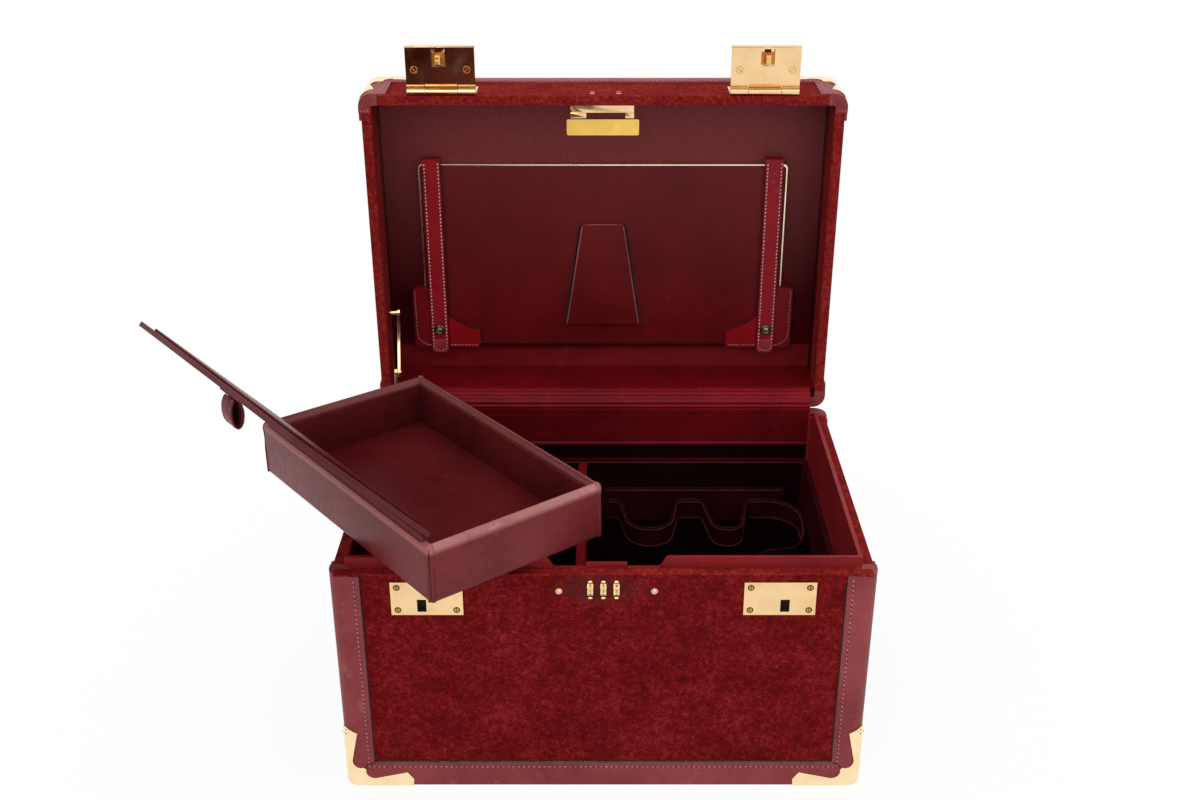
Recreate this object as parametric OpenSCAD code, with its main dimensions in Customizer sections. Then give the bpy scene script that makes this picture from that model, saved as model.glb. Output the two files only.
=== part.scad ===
// Vanity case: a leather-covered hard case with a suede front, a hinged lid that holds
// a strapped-in easel mirror, a lift-out tray with its own lid, two flip-up hasps and a
// three-wheel combination lock. It is drawn open, with the tray parked across the rim.
// X runs to the right of someone facing the front, Y to the back and Z up. The origin is
// the centre of the underside. The lid and all it carries are drawn shut and then turned
// open about the hinge pin.

/* [Case] */
// Width over the leather
case_w = 330; // [290:1:370]
// Depth over the leather
case_d = 234; // [225:1:270]
// Height of the base's rim
base_h = 158; // [150:1:180]
// Height of the lid
lid_h = 46; // [45:1:60]
// Radius of the upright edges
corner_r = 9; // [6:0.5:14]
// Angle that the lid is drawn open
lid_open = 89; // [60:1:100]
// Thickness of the board walls
board_t = 4.8; // [3.8:0.1:5.3]
// Thickness of the board floor
floor_t = 4.8; // [3.2:0.1:7.8]

/* [Covering] */
// Thickness of the leather edge bands
band_t = 2.4; // [1.8:0.1:2.6]
// Width of the upright edge bands
band_w = 18.5; // [14:0.5:24]
// Width of the bands along the bottom
foot_band_w = 17.5; // [14:0.5:22]
// Width of the bands along the lid's top edges
top_band_w = 11; // [8:0.5:14]
// Thickness of the leather and suede panels between the bands
panel_t = 0.8; // [0.5:0.1:0.9]
// Thickness of the suede strip on the rims
rim_t = 1; // [0.6:0.1:1.5]
// Width of the lid's rim
rim_w = 8; // [8:0.1:9]
// Length of the leather patches on the rim corners
patch_l = 13; // [10:0.5:18]
// Gap between the shut lid and the base
lid_gap = 0.4; // [0.2:0.1:0.8]

/* [Corner guards] */
// Thickness of the brass
guard_t = 0.9; // [0.6:0.1:1.2]
// Length of the upright leg
guard_up = 49; // [38:0.5:56]
// Length of the level legs
guard_leg = 43; // [36:0.5:50]
// Width of a leg at its tip
guard_w = 9.6; // [8.6:0.2:10.6]

/* [Lining] */
// Height of the suede lip above the rim
lip_h = 7.2; // [4:0.2:9]
// Thickness of the lip
lip_t = 2.5; // [1.8:0.1:3]
// Gap between the lip and the shut lid
lip_gap = 1.2; // [0.9:0.1:1.4]
// Depth of the tray's ledge below the rim
ledge_drop = 38; // [34:1:44]
// Width of the tray's ledge
ledge_w = 3.5; // [2.5:0.5:5]
// Thickness of the leather on the floor
floor_leather = 1.5; // [1:0.1:2.5]
// Thickness of the divider
divider_t = 6.7; // [4:0.1:8]
// Place of the divider across the width
divider_x = -15; // [-30:1:0]
// Depth of the lid's cavity
lid_depth = 40; // [38:0.5:40.5]
// Thickness of the padded lining behind the hinge
back_pad = 15.5; // [12:0.5:17]

/* [Bottle loops] */
// Height of the backing strip's top edge
loop_top = 99; // [80:1:108]
// Height of the loop band
loop_band_h = 17; // [12:1:22]
// Thickness of the leather band
loop_band_t = 1.8; // [1.4:0.1:2.4]
// How far a round loop stands out from the wall
loop_out = 42; // [34:1:48]

/* [Latch plates] */
// Distance of each plate's centre from the case's side
plate_in = 58.7; // [50:0.1:70]
// Width of the plate
plate_w = 43.5; // [38:0.5:48]
// Height of the plate
plate_h = 23; // [22:0.5:26]
// Distance of the plate's top below the rim
plate_drop = 5.4; // [4:0.2:6]
// Thickness of the brass plates
plate_t = 0.8; // [0.6:0.1:1]
// Width of the hook's hole
hook_hole_w = 5.5; // [5:0.1:7]
// Height of the hook's hole
hook_hole_h = 8.6; // [8.4:0.2:9.4]

/* [Hasps] */
// Distance of each hasp's centre from the case's side
hasp_in = 56.5; // [48:0.5:68]
// Width of a hasp
hasp_w = 46.2; // [40:0.2:50]
// Length of a hasp from its pin
hasp_l = 30.6; // [29.6:0.1:31.2]
// Radius of the hasp's knuckles
hasp_knuckle_r = 2.4; // [2.2:0.1:2.8]
// Radius of the hasp's pin
hasp_pin_r = 1; // [0.8:0.1:1.2]
// Angle that the hasps are drawn raised
hasp_open = 90; // [60:1:100]
// Travel of the sliding hook
hook_travel = 3; // [2.4:0.1:3.2]

/* [Lock] */
// Place of the lock across the width
lock_x = 2; // [-6:0.5:6]
// Depth of the wheels' axle below the rim
wheel_drop = 10.7; // [10:0.1:12]
// Radius of a wheel
wheel_r = 5.4; // [5:0.1:5.6]
// Width of a wheel
wheel_w = 3.6; // [3:0.1:4.2]
// Distance from wheel to wheel
wheel_pitch = 7.9; // [7:0.1:9]
// Radius of the wheels' axle
axle_r = 1.2; // [0.8:0.1:1.5]
// Depth of the axle behind the front
axle_in = 4.4; // [4.2:0.1:4.6]

/* [Lid hinge] */
// Distance of the hinge's ends from the edge bands
hinge_end = 4.5; // [3:0.5:30]
// Number of knuckles
knuckles = 13; // [5:2:17]
// Radius of the knuckles
knuckle_r = 1.9; // [1.6:0.1:2.2]
// Radius of the pin
pin_r = 0.8; // [0.6:0.1:1]
// Width of a leaf
leaf_w = 17; // [12:0.5:20]

/* [Mirror] */
// Distance of the mirror's sides from the lid's outside
mirror_side = 33; // [30:0.5:50]
// Distance of the mirror's top edge from the lid's front
mirror_top = 59; // [58:0.5:75]
// Distance of the mirror's lower edge from the hinge side
mirror_low = 36.5; // [34:0.5:45]
// Thickness of the mirror with its back
mirror_t = 5; // [4.4:0.1:5.4]
// Distance of each strap from the mirror's side
strap_in = 10; // [8:1:40]
// Width of a strap
strap_w = 12.4; // [9:0.2:15]
// Thickness of a strap
strap_t = 1.6; // [1.2:0.1:2]

/* [Handle] */
// Distance of each handle post from the middle
post_x = 58; // [50:1:70]
// Height of the handle's pivot above the lid
post_h = 8.5; // [8:0.5:10]
// Radius of the handle's grip
grip_r = 6.5; // [5:0.5:7]
// Reach of the handle from its pivot
grip_out = 36; // [30:1:44]

/* [Tray] */
// Width of the tray
tray_w = 123.4; // [110:0.2:126]
// Length of the tray
tray_l = 206; // [180:1:208]
// Height of the tray
tray_h = 37.4; // [30:0.2:37.6]
// Thickness of the tray's outer wall
tray_wall = 4; // [3:0.5:5]
// Thickness of the tray's inner lining
tray_lining_t = 2; // [1.5:0.1:3]
// Turn of the parked tray
tray_turn = 38.2; // [30:0.2:45]
// Angle that the tray's lid is drawn open
tray_lid_open = 132; // [95:1:134]
// Width of the pull loop on the tray's lid
pull_w = 9; // [6:0.5:14]
// Length of the pull loop
pull_l = 18; // [14:0.5:24]
// Distance of the pull loop from the lid's free edge
loop_from_edge = 20; // [10:1:24]

/* [Hidden] */
$fn = 48;
eps = 0.01;

leather = "#6e2a33";
dark_leather = "#4a1418";
suede = "#7d1416";
red_leather = "#8a1020";
brass = "#e0b85a";

// Levels and depths that several pieces share
wall_in = band_t + board_t;
lip_out = rim_w + lip_gap;
lip_in = lip_out + lip_t;
low_in = lip_in + ledge_w;
ledge_z = base_h - ledge_drop;
floor_z = band_t + floor_t;
front_y = -case_d / 2;
panel_y = front_y + band_t - panel_t;
lid_z = base_h + lid_gap;
lid_top = lid_z + lid_h;
lid_in = rim_w - 1.5;
ceiling_z = lid_z + lid_depth;
hinge_y = case_d / 2 - band_t + panel_t + knuckle_r;
hinge_z = base_h;
hinge_l = case_w - 2 * band_w - 2 * hinge_end;
mirror_w = case_w - 2 * mirror_side;
mirror_h = case_d - mirror_low - mirror_top;
strap_x = mirror_w / 2 - strap_in;

// Lip notch for the lid's catch, with a tab in its middle
notch_half = 31;
notch_slope = 6;
tab_half = 12.3;
tab_h = 2.8;

// Hook, hasp and latch places and levels, with the lid shut
plate_x = case_w / 2 - plate_in;
hasp_x = case_w / 2 - hasp_in;
hook_x = hasp_x + 1;
hook_hole_z = base_h - plate_drop - plate_h + 2.3 + hook_hole_h / 2;
hasp_y = panel_y - hasp_knuckle_r;
hasp_z = lid_z + 2.5;
hasp_clear = 0.4;
hasp_back = panel_y - plate_t - hasp_clear - hasp_y;
hasp_front = hasp_back - 3.2;
hasp_skin = 0.8;
hook_z = hook_hole_z + 0.5 - hasp_z;
pocket_w = hook_hole_w + 1;
running = 0.05;

// Lock levels
wheel_z = base_h - wheel_drop;
axle_y = front_y + axle_in + 0.4;
case_deep = axle_in + wheel_r + 1.4;
lock_half = 33;
stud_r = 1.85;

// Stay: three pivots in the plane beside the left wall
stay_t = 2;
stay_r = 3.5;
stay_x = -case_w / 2 + lip_in + 1.3;
stay_u = 71.5;
stay_w = 12;
lower_pivot = [case_d / 2 - 22, base_h - 13];
stud_shut = [hinge_y - stay_u, hinge_z + stay_w];
stud_open = turned(stud_shut, -lid_open);
stay_elbow = lower_pivot + (stud_open - lower_pivot) * 0.52;

// Parked tray: its underside lies just over the lip
tray_z = base_h + lip_h + 0.3;
tray_at = [-112.5, -42];
lid_inset = 0.6;
lid_t = 3;
pad_t = 1.6;
rebate = lid_t + 0.5;
tray_axis_x = -tray_w / 2 + tray_wall - lid_inset;
flap_t = 1;
tray_axis_z = tray_h + flap_t + 0.3;

function turned(p, a) = [
  hinge_y + (p[0] - hinge_y) * cos(a) - (p[1] - hinge_z) * sin(a),
  hinge_z + (p[0] - hinge_y) * sin(a) + (p[1] - hinge_z) * cos(a)];

// Rounded rectangle with true arcs
module rrect(w, d, r) {
  square([w - 2 * r, d], center = true);
  square([w, d - 2 * r], center = true);
  for (sx = [-1, 1], sy = [-1, 1])
    translate([sx * (w / 2 - r), sy * (d / 2 - r)]) circle(r);
}

module rblock(w, d, r, z0, z1) {
  translate([0, 0, z0]) linear_extrude(z1 - z0) rrect(w, d, r);
}

// The case's outline, drawn in by a distance
module case_block(inset, z0, z1) {
  rblock(case_w - 2 * inset, case_d - 2 * inset, max(corner_r - inset, 1.5), z0, z1);
}

module case_ring(outer, inner, z0, z1) {
  difference() {
    case_block(outer, z0, z1);
    case_block(inner, z0 - 1, z1 + 1);
  }
}

module box(p, q) {
  translate(p) cube(q - p);
}

// A rod along X
module rod(r, x0, x1, y, z) {
  translate([x0, y, z]) rotate([0, 90, 0]) cylinder(r = r, h = x1 - x0);
}

// A rod along Y
module stub(r, y0, y1, x, z) {
  translate([x, y0, z]) rotate([-90, 0, 0]) cylinder(r = r, h = y1 - y0);
}

module at_four_corners() {
  for (sx = [0, 1], sy = [0, 1]) mirror([sx, 0, 0]) mirror([0, sy, 0]) children();
}

// Turns what was drawn on the shut lid to the open lid
module on_lid() {
  translate([0, hinge_y, hinge_z]) rotate([-lid_open, 0, 0])
    translate([0, -hinge_y, -hinge_z]) children();
}

// Windows between the edge bands on the four sides
module side_windows(z0, z1) {
  half_x = case_w / 2 - band_w;
  half_y = case_d / 2 - band_w;
  box([-half_x, front_y - 1, z0], [half_x, -front_y + 1, z1]);
  box([-case_w / 2 - 1, -half_y, z0], [case_w / 2 + 1, half_y, z1]);
}

module rim_corners(z0, z1) {
  at_four_corners()
    box([case_w / 2 - patch_l, case_d / 2 - patch_l, z0], [case_w / 2 + 2, case_d / 2 + 2, z1]);
}

// One face of a corner guard: a leg along each edge, scooped on both sides of a cusp
module guard_outline(up, along) {
  tip = guard_w;
  difference() {
    polygon([[-2, -2], [along, -2], [along + 0.6, 5.1], [along - 3.3, tip + 1], [19, 5.9],
      [13.2, 13.2], [5, 19.5], [tip, up - 7.5], [3.1, up - 4.6], [0, up - 3.5], [-2, up - 3.5]]);
    translate([10.2, 19.2]) circle(5.2);
    translate([18.6, 11.4]) circle(5.4);
  }
}

// A brass guard wrapped round one lower corner of a block whose corner is at x, y, 0
module guard_region(up) {
  x = case_w / 2;
  y = case_d / 2;
  turn_in = 0.3 * corner_r;
  translate([x, -y + turn_in, 0]) rotate([90, 0, 0]) linear_extrude(turn_in + 3)
    mirror([1, 0]) guard_outline(up, guard_leg);
  translate([x - turn_in, -y, 0]) rotate([90, 0, 90]) linear_extrude(turn_in + 3)
    guard_outline(up, guard_leg);
  translate([x, -y, -3]) linear_extrude(4.4) mirror([1, 0])
    guard_outline(guard_leg, guard_leg);
}

module corner_guard(up, z_flat) {
  intersection() {
    difference() {
      rblock(case_w + 2 * guard_t, case_d + 2 * guard_t, corner_r + guard_t, 0, 60);
      case_block(0, z_flat, 61);
    }
    guard_region(up);
  }
}

module base_guards() {
  at_four_corners() corner_guard(guard_up, guard_t);
}

// The same guards on the lid's top corners, which leave the rim free
module lid_guards() {
  translate([0, 0, lid_top]) mirror([0, 0, 1])
    at_four_corners() corner_guard(min(guard_up, lid_h - 3), guard_t);
}

// Pocket behind a latch plate's hole, where the hook's nose goes
module hook_pockets(y0, y1) {
  for (s = [-1, 1])
    box([s * hook_x - pocket_w / 2, y0, hook_hole_z - hook_hole_h / 2 - 0.5],
      [s * hook_x + pocket_w / 2, y1, hook_hole_z + hook_hole_h / 2 + 3]);
}

module at_latch_screws() {
  plate_z = base_h - plate_drop - plate_h / 2;
  for (s = [-1, 1], sx = [-1, 1], sz = [-1, 1])
    translate([s * plate_x + sx * (plate_w / 2 - 4), 0, plate_z + sz * (plate_h / 2 - 3.6)])
      children();
}

module latch_screw_holes(y0, y1) {
  at_latch_screws() stub(1, y0, y1, 0, 0);
}

module lock_pocket(clear, y0, y1) {
  box([lock_x - lock_half - clear, y0, wheel_z - 9 - clear],
    [lock_x + lock_half + clear, y1, wheel_z + 9 + clear]);
}

// Slots in the front panel where the wheels' bezels stand
module bezel_block(grow, y0, y1) {
  for (i = [-1, 0, 1])
    box([i * wheel_pitch - wheel_w / 2 - 0.8 - grow, y0, wheel_z - wheel_r - 0.4 - grow],
      [i * wheel_pitch + wheel_w / 2 + 0.8 + grow, y1, wheel_z + wheel_r + 0.4 + grow]);
}

module lock_studs_at() {
  for (x = [lock_x - 28.7, lock_x + 28.7]) translate([x, 0, wheel_z - 0.9]) children();
}

module base_shell() {
  color("#8b6a4a") difference() {
    case_block(band_t, band_t, base_h - rim_t);
    case_block(wall_in, floor_z, base_h);
    hook_pockets(front_y, front_y + wall_in - 1.4);
    lock_pocket(0, front_y, front_y + wall_in + 1);
    latch_screw_holes(front_y, front_y + 6);
  }
}

module base_front_panel() {
  half = case_w / 2 - band_w;
  color(suede) difference() {
    box([-half, panel_y, foot_band_w], [half, panel_y + panel_t, base_h - rim_t]);
    hook_pockets(front_y - 1, front_y + 3);
    bezel_block(0, front_y - 1, front_y + 3);
    lock_studs_at() stub(stud_r * 0.6, front_y - 1, front_y + 3, 0, 0);
    latch_screw_holes(front_y - 1, front_y + 6);
  }
}

// Leather on the sides, back and underside
module base_cover() {
  half_x = case_w / 2 - band_w;
  half_y = case_d / 2 - band_w;
  in = band_t - panel_t;
  color(leather) {
    box([-half_x, case_d / 2 - band_t, foot_band_w], [half_x, case_d / 2 - in, base_h - rim_t]);
    for (s = [0, 1]) mirror([s, 0, 0])
      box([case_w / 2 - band_t, -half_y, foot_band_w], [case_w / 2 - in, half_y, base_h - rim_t]);
    box([foot_band_w - case_w / 2, foot_band_w - case_d / 2, 0],
      [case_w / 2 - foot_band_w, case_d / 2 - foot_band_w, band_t]);
  }
}

// Leather bands round the edges, and the patches on the rim's corners
module base_edge_bands() {
  color(leather) {
    difference() {
      case_block(0, 0, base_h - rim_t);
      case_block(band_t, band_t, base_h);
      side_windows(foot_band_w, base_h + 1);
      box([foot_band_w - case_w / 2, foot_band_w - case_d / 2, -1],
        [case_w / 2 - foot_band_w, case_d / 2 - foot_band_w, band_t + 1]);
      base_guards();
    }
    intersection() {
      case_ring(0, lip_out, base_h - rim_t, base_h);
      rim_corners(base_h - rim_t, base_h);
    }
  }
}

module base_rim() {
  color(suede) difference() {
    case_ring(band_t - panel_t, lip_out, base_h - rim_t, base_h);
    rim_corners(base_h - 5, base_h + 1);
  }
}

// Edge of the lip's notch: level, then a smooth rise to the lip's top
module notch_profile() {
  steps = 10;
  rise = [for (i = [0:steps]) [notch_half + notch_slope * i / steps,
    lip_h * (1 - cos(180 * i / steps)) / 2]];
  fall = [for (i = [0:steps]) [-rise[steps - i][0], rise[steps - i][1]]];
  difference() {
    polygon(concat(rise, [[notch_half + notch_slope, lip_h + 2],
      [-notch_half - notch_slope, lip_h + 2]], fall));
    translate([-tab_half, -1]) square([2 * tab_half, tab_h + 1]);
  }
}

// Suede upper lining on three sides, with the lip that stands above the rim
module base_lip() {
  color(suede) difference() {
    union() {
      case_ring(wall_in, lip_in, ledge_z, base_h - rim_t);
      case_ring(lip_out, lip_in, ledge_z, base_h + lip_h);
    }
    box([-case_w, case_d / 2 - lip_in, 0], [case_w, case_d, base_h + lip_h + 1]);
    translate([-case_w, case_d / 2 - back_pad - 1, base_h - rim_t]) rotate([90, 0, 90])
      linear_extrude(2 * case_w) polygon([[-10, lip_h + 3], [-8, lip_h + rim_t], [-5.5, lip_h],
        [-2, rim_t + 1], [0, rim_t], [0, 0], [back_pad, 0], [back_pad, lip_h + 3]]);
    translate([lock_x, front_y + lip_in + 1, base_h]) rotate([90, 0, 0])
      linear_extrude(lip_in) notch_profile();
    lock_pocket(0.1, front_y, front_y + case_deep + 0.1);
  }
}

// Leather-lined lower walls and floor; its top edge is the tray's ledge
module base_lining() {
  color(dark_leather) difference() {
    case_block(wall_in, floor_z, ledge_z);
    case_block(low_in, floor_z + floor_leather, ledge_z + 1);
  }
}

// Leather pad on the upper back wall, with its piping
module base_back_pad() {
  half = case_w / 2 - lip_in;
  y0 = case_d / 2 - lip_in;
  pipe_z = base_h - 24;
  color(dark_leather) {
    box([-half, y0, pipe_z], [half, case_d / 2 - wall_in, base_h - rim_t]);
    box([-half, y0 + 2.4, ledge_z], [half, case_d / 2 - wall_in, pipe_z]);
    rod(2, 1.5 - half, half - 1.5, y0 + 1.2, pipe_z);
  }
}

module divider() {
  color(red_leather)
    box([divider_x - divider_t / 2, low_in - case_d / 2, floor_z + floor_leather],
      [divider_x + divider_t / 2, case_d / 2 - low_in, ledge_z]);
}

// A path of straights [0, length] and bends [radius, angle], bends to the left positive;
// each point is x, y and heading
function walk(segs, p, a, i) = i == len(segs) ? [] :
  let(r = segs[i][0], t = segs[i][1], side = t < 0 ? -1 : 1,
    centre = p + r * side * [-sin(a), cos(a)], n = ceil(abs(t) / 12),
    pts = r == 0 ? [[p[0] + t * cos(a), p[1] + t * sin(a), a]] :
      [for (k = [1:n]) let(h = a + t * k / n)
        [centre[0] + r * side * sin(h), centre[1] - r * side * cos(h), h]],
    last = pts[len(pts) - 1])
  concat(pts, walk(segs, [last[0], last[1]], last[2], i + 1));

function beside(pts, d) = [for (q = pts) [q[0] - d * sin(q[2]), q[1] + d * cos(q[2])]];

// One bottle's loop between two tacks, this wide and standing out this far
flare = 5;
function bottle(width, out) =
  let(r = (width - 2 * flare - 0.35 * (out - 4.1)) / 1.68, run = (out - 4.1 - 0.826 * r) / 0.985)
  [[flare, -80], [0, run], [r, 160], [0, run], [flare, -80]];

// Ends of the two loops on the back wall, as shares of the way to the side wall
loop_shares = [0.0601, 0.4005, 0.474, 0.7477];
module bottle_loops() {
  wall = case_d / 2 - low_in;
  side = case_w / 2 - low_in;
  loop_ends = [for (q = loop_shares) q * side];
  strip = 1.4;
  mid = strip + loop_band_t / 2;
  bend = 24.5;
  start = [loop_ends[0] - 4, wall - mid];
  z0 = loop_top - 9 - loop_band_h;
  path = walk(concat([[0, 4]], bottle(loop_ends[1] - loop_ends[0], loop_out),
    [[0, loop_ends[2] - loop_ends[1]]], bottle(loop_ends[3] - loop_ends[2], loop_out),
    [[0, side - mid - bend - loop_ends[3]], [bend, -90], [0, 12], [60, -28], [12, -52],
    [0, 12], [14, 160], [0, 22.2], [flare, -80], [0, 8]]), start, 0, 0);
  all = concat([[start[0], start[1], 0]], path);
  h = loop_band_t / 2;
  left = beside(all, h);
  n = len(left);
  color(dark_leather) {
    box([0, wall - strip, z0 - 2], [side - 12.8, wall, loop_top]);
    box([side - strip, wall - 125.8, z0 - 2], [side, wall - 26.8, z0 + loop_band_h + 2]);
    translate([0, 0, z0]) linear_extrude(loop_band_h)
      polygon(concat(beside(all, -h), [for (k = [1:n]) left[n - k]]));
  }
}

module base_corner_guards() {
  color(brass) base_guards();
}

module latch_plates() {
  z0 = base_h - plate_drop - plate_h;
  color(brass) difference() {
    for (s = [-1, 1])
      box([s * plate_x - plate_w / 2, panel_y - plate_t, z0],
        [s * plate_x + plate_w / 2, panel_y, z0 + plate_h]);
    for (s = [-1, 1])
      box([s * hook_x - hook_hole_w / 2, front_y - 3, hook_hole_z - hook_hole_h / 2],
        [s * hook_x + hook_hole_w / 2, front_y + 3, hook_hole_z + hook_hole_h / 2]);
    at_latch_screws() stub(1.9, front_y - 3, front_y + 3, 0, 0);
  }
}

module latch_screws() {
  color(brass) at_latch_screws() difference() {
    union() {
      stub(1.9, panel_y - plate_t - 0.1, panel_y, 0, 0);
      stub(1, panel_y, front_y + 6, 0, 0);
    }
    box([-2, panel_y - plate_t - 1, -0.25], [2, panel_y - plate_t + 0.3, 0.25]);
  }
}

// Brass case let into the front wall, with a bezel round each wheel and two domed studs
module lock_case() {
  color(brass) {
    difference() {
      union() {
        lock_pocket(0, front_y + band_t, front_y + case_deep);
        bezel_block(0, panel_y - 0.3, front_y + band_t);
      }
      for (i = [-1, 0, 1])
        rod(wheel_r + 0.3, i * wheel_pitch - wheel_w / 2 - 0.2,
          i * wheel_pitch + wheel_w / 2 + 0.2, axle_y, wheel_z);
      rod(axle_r, -1.5 * wheel_pitch - 2, 1.5 * wheel_pitch + 2, axle_y, wheel_z);
    }
    lock_studs_at() intersection() {
      union() {
        stub(stud_r * 0.6, panel_y, front_y + band_t, 0, 0);
        translate([0, panel_y + 1, 0]) sphere(stud_r + 0.35);
      }
      stub(stud_r, panel_y - 2, panel_y, 0, 0);
    }
    lock_studs_at() stub(stud_r * 0.6, panel_y, front_y + band_t, 0, 0);
  }
}

module lock_axle() {
  color(brass) rod(axle_r, -1.5 * wheel_pitch - 2, 1.5 * wheel_pitch + 2, axle_y, wheel_z);
}

// A number wheel with ten finger grooves
module lock_wheel(i) {
  color(brass) translate([i * wheel_pitch, axle_y, wheel_z]) rotate([0, 90, 0]) difference() {
    cylinder(r = wheel_r, h = wheel_w, center = true);
    cylinder(r = axle_r + running, h = wheel_w + 1, center = true);
    for (k = [0:9]) rotate(18 + 36 * k) translate([wheel_r + 0.25, 0])
      cylinder(r = 0.6, h = wheel_w + 1, center = true, $fn = 16);
  }
}

module lock_wheel_left() { lock_wheel(-1); }
module lock_wheel_centre() { lock_wheel(0); }
module lock_wheel_right() { lock_wheel(1); }

// Knuckles of one leaf: the base has the even ones and the lid the odd ones
module leaf(own, side, bore) {
  step = hinge_l / knuckles;
  back = case_d / 2 - band_t + panel_t;
  reach = knuckle_r + 0.3;
  z0 = side > 0 ? reach : -leaf_w;
  z1 = side > 0 ? leaf_w : -reach;
  difference() {
    union() {
      box([-hinge_l / 2, back, hinge_z + z0], [hinge_l / 2, back + plate_t, hinge_z + z1]);
      for (k = [own:2:knuckles - 1]) {
        x0 = -hinge_l / 2 + k * step + 0.15;
        rod(knuckle_r, x0, x0 + step - 0.3, hinge_y, hinge_z);
        box([x0, back, hinge_z + (side > 0 ? 0 : -reach - 1)],
          [x0 + step - 0.3, back + plate_t, hinge_z + (side > 0 ? reach + 1 : 0)]);
      }
    }
    rod(bore, -hinge_l, hinge_l, hinge_y, hinge_z);
  }
}

module hinge_leaf_base() { color(brass) leaf(0, -1, pin_r); }
module hinge_pin() { color(brass) rod(pin_r, -hinge_l / 2, hinge_l / 2, hinge_y, hinge_z); }
module hinge_leaf_lid() { color(brass) on_lid() leaf(1, 1, pin_r + running); }

// Leather roll that hides the hinge inside, from the base's pad up to the lid's lining
module hinge_gusset() {
  left = 18 - case_w / 2;
  right = case_w / 2 - lip_in - 0.4;
  r = 12;
  low = [case_d / 2 - lip_in + 2.1, base_h];
  high = [hinge_y - 0.6, hinge_z + back_pad + 1.5];
  mid = (low + high) / 2;
  chord = high - low;
  len = norm(chord);
  centre = mid + [chord[1], -chord[0]] / len * sqrt(r * r - len * len / 4);
  color(leather) difference() {
    rod(r, left, right, centre[0], centre[1]);
    rod(r - 1.6, left - 1, right + 1, centre[0], centre[1]);
    box([left - 1, 0, 0], [right + 1, case_d, base_h]);
    box([left - 1, high[0], 0], [right + 1, case_d, base_h + 60]);
    box([left - 1, centre[0] - 1, base_h], [right + 1, case_d, centre[1]]);
  }
}

// Stay pieces lie in planes beside the left wall
module stay_bar(x, p, q, bore_p, bore_q) {
  len = norm(q - p);
  translate([x, p[0], p[1]]) rotate([atan2(q[1] - p[1], q[0] - p[0]), 0, 0])
    rotate([90, 0, 90]) linear_extrude(stay_t) difference() {
      union() {
        translate([0, -stay_r + 0.8]) square([len, 2 * stay_r - 1.6]);
        circle(stay_r);
        translate([len, 0]) circle(stay_r);
      }
      if (bore_p > 0) circle(bore_p);
      if (bore_q > 0) translate([len, 0]) circle(bore_q);
    }
}

module stay_bracket() {
  x0 = -case_w / 2 + lip_in;
  color(brass) {
    box([x0, lower_pivot[0] - 5, lower_pivot[1] - 9], [x0 + 0.8, lower_pivot[0] + 5, lower_pivot[1] + 5]);
    rod(1.5, x0 + 0.8, stay_x + stay_t + 0.6, lower_pivot[0], lower_pivot[1]);
  }
}

module stay_lower_arm() {
  color(brass) {
    stay_bar(stay_x, lower_pivot, stay_elbow, 1.5 + running, 0);
    rod(1.5, stay_x + stay_t, stay_x + 2 * stay_t + 0.8, stay_elbow[0], stay_elbow[1]);
  }
}

module stay_upper_arm() {
  color(brass)
    stay_bar(stay_x + stay_t + 0.3, stay_elbow, stud_open, 1.5 + running, 0);
}

// Stud on the lid's left wall; the upper arm's eye lies against its end
module stay_stud() {
  color(brass) on_lid()
    rod(1.7, rim_w - case_w / 2, stay_x + stay_t, stud_shut[0], stud_shut[1]);
}

module lid_shell() {
  color("#8b6a4a") on_lid() difference() {
    case_block(band_t, lid_z + rim_t, lid_top - band_t);
    case_block(lid_in, lid_z, ceiling_z + 1);
    catch_rivets_at() stub(1, front_y, front_y + rim_w, 0, 0);
  }
}

module catch_rivets_at() {
  for (x = [lock_x - 9.2, lock_x + 8.6]) translate([x, 0, lid_z + 8.6]) children();
}

module lid_front_panel() {
  half = case_w / 2 - band_w;
  color(suede) on_lid() difference() {
    box([-half, panel_y, lid_z + rim_t], [half, panel_y + panel_t, lid_top - top_band_w]);
    catch_rivets_at() stub(1, front_y - 1, front_y + 3, 0, 0);
  }
}

module lid_cover() {
  half_x = case_w / 2 - band_w;
  half_y = case_d / 2 - band_w;
  in = band_t - panel_t;
  z0 = lid_z + rim_t;
  z1 = lid_top - top_band_w;
  color(leather) on_lid() {
    box([-half_x, case_d / 2 - band_t, z0], [half_x, case_d / 2 - in, z1]);
    for (s = [0, 1]) mirror([s, 0, 0])
      box([case_w / 2 - band_t, -half_y, z0], [case_w / 2 - in, half_y, z1]);
    box([foot_band_w - case_w / 2, foot_band_w - case_d / 2, lid_top - band_t],
      [case_w / 2 - foot_band_w, case_d / 2 - foot_band_w, lid_top - in]);
  }
}

module lid_edge_bands() {
  color(leather) on_lid() {
    difference() {
      case_block(0, lid_z + rim_t, lid_top);
      case_block(band_t, lid_z, lid_top - band_t);
      side_windows(lid_z, lid_top - top_band_w);
      box([foot_band_w - case_w / 2, foot_band_w - case_d / 2, lid_top - band_t - 1],
        [case_w / 2 - foot_band_w, case_d / 2 - foot_band_w, lid_top + 1]);
      lid_guards();
    }
    intersection() {
      case_ring(0, rim_w, lid_z, lid_z + rim_t);
      rim_corners(lid_z, lid_z + rim_t);
    }
  }
}

module lid_rim() {
  color(suede) on_lid() difference() {
    case_ring(band_t - panel_t, rim_w, lid_z, lid_z + rim_t);
    rim_corners(lid_z - 1, lid_z + 5);
  }
}

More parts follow.
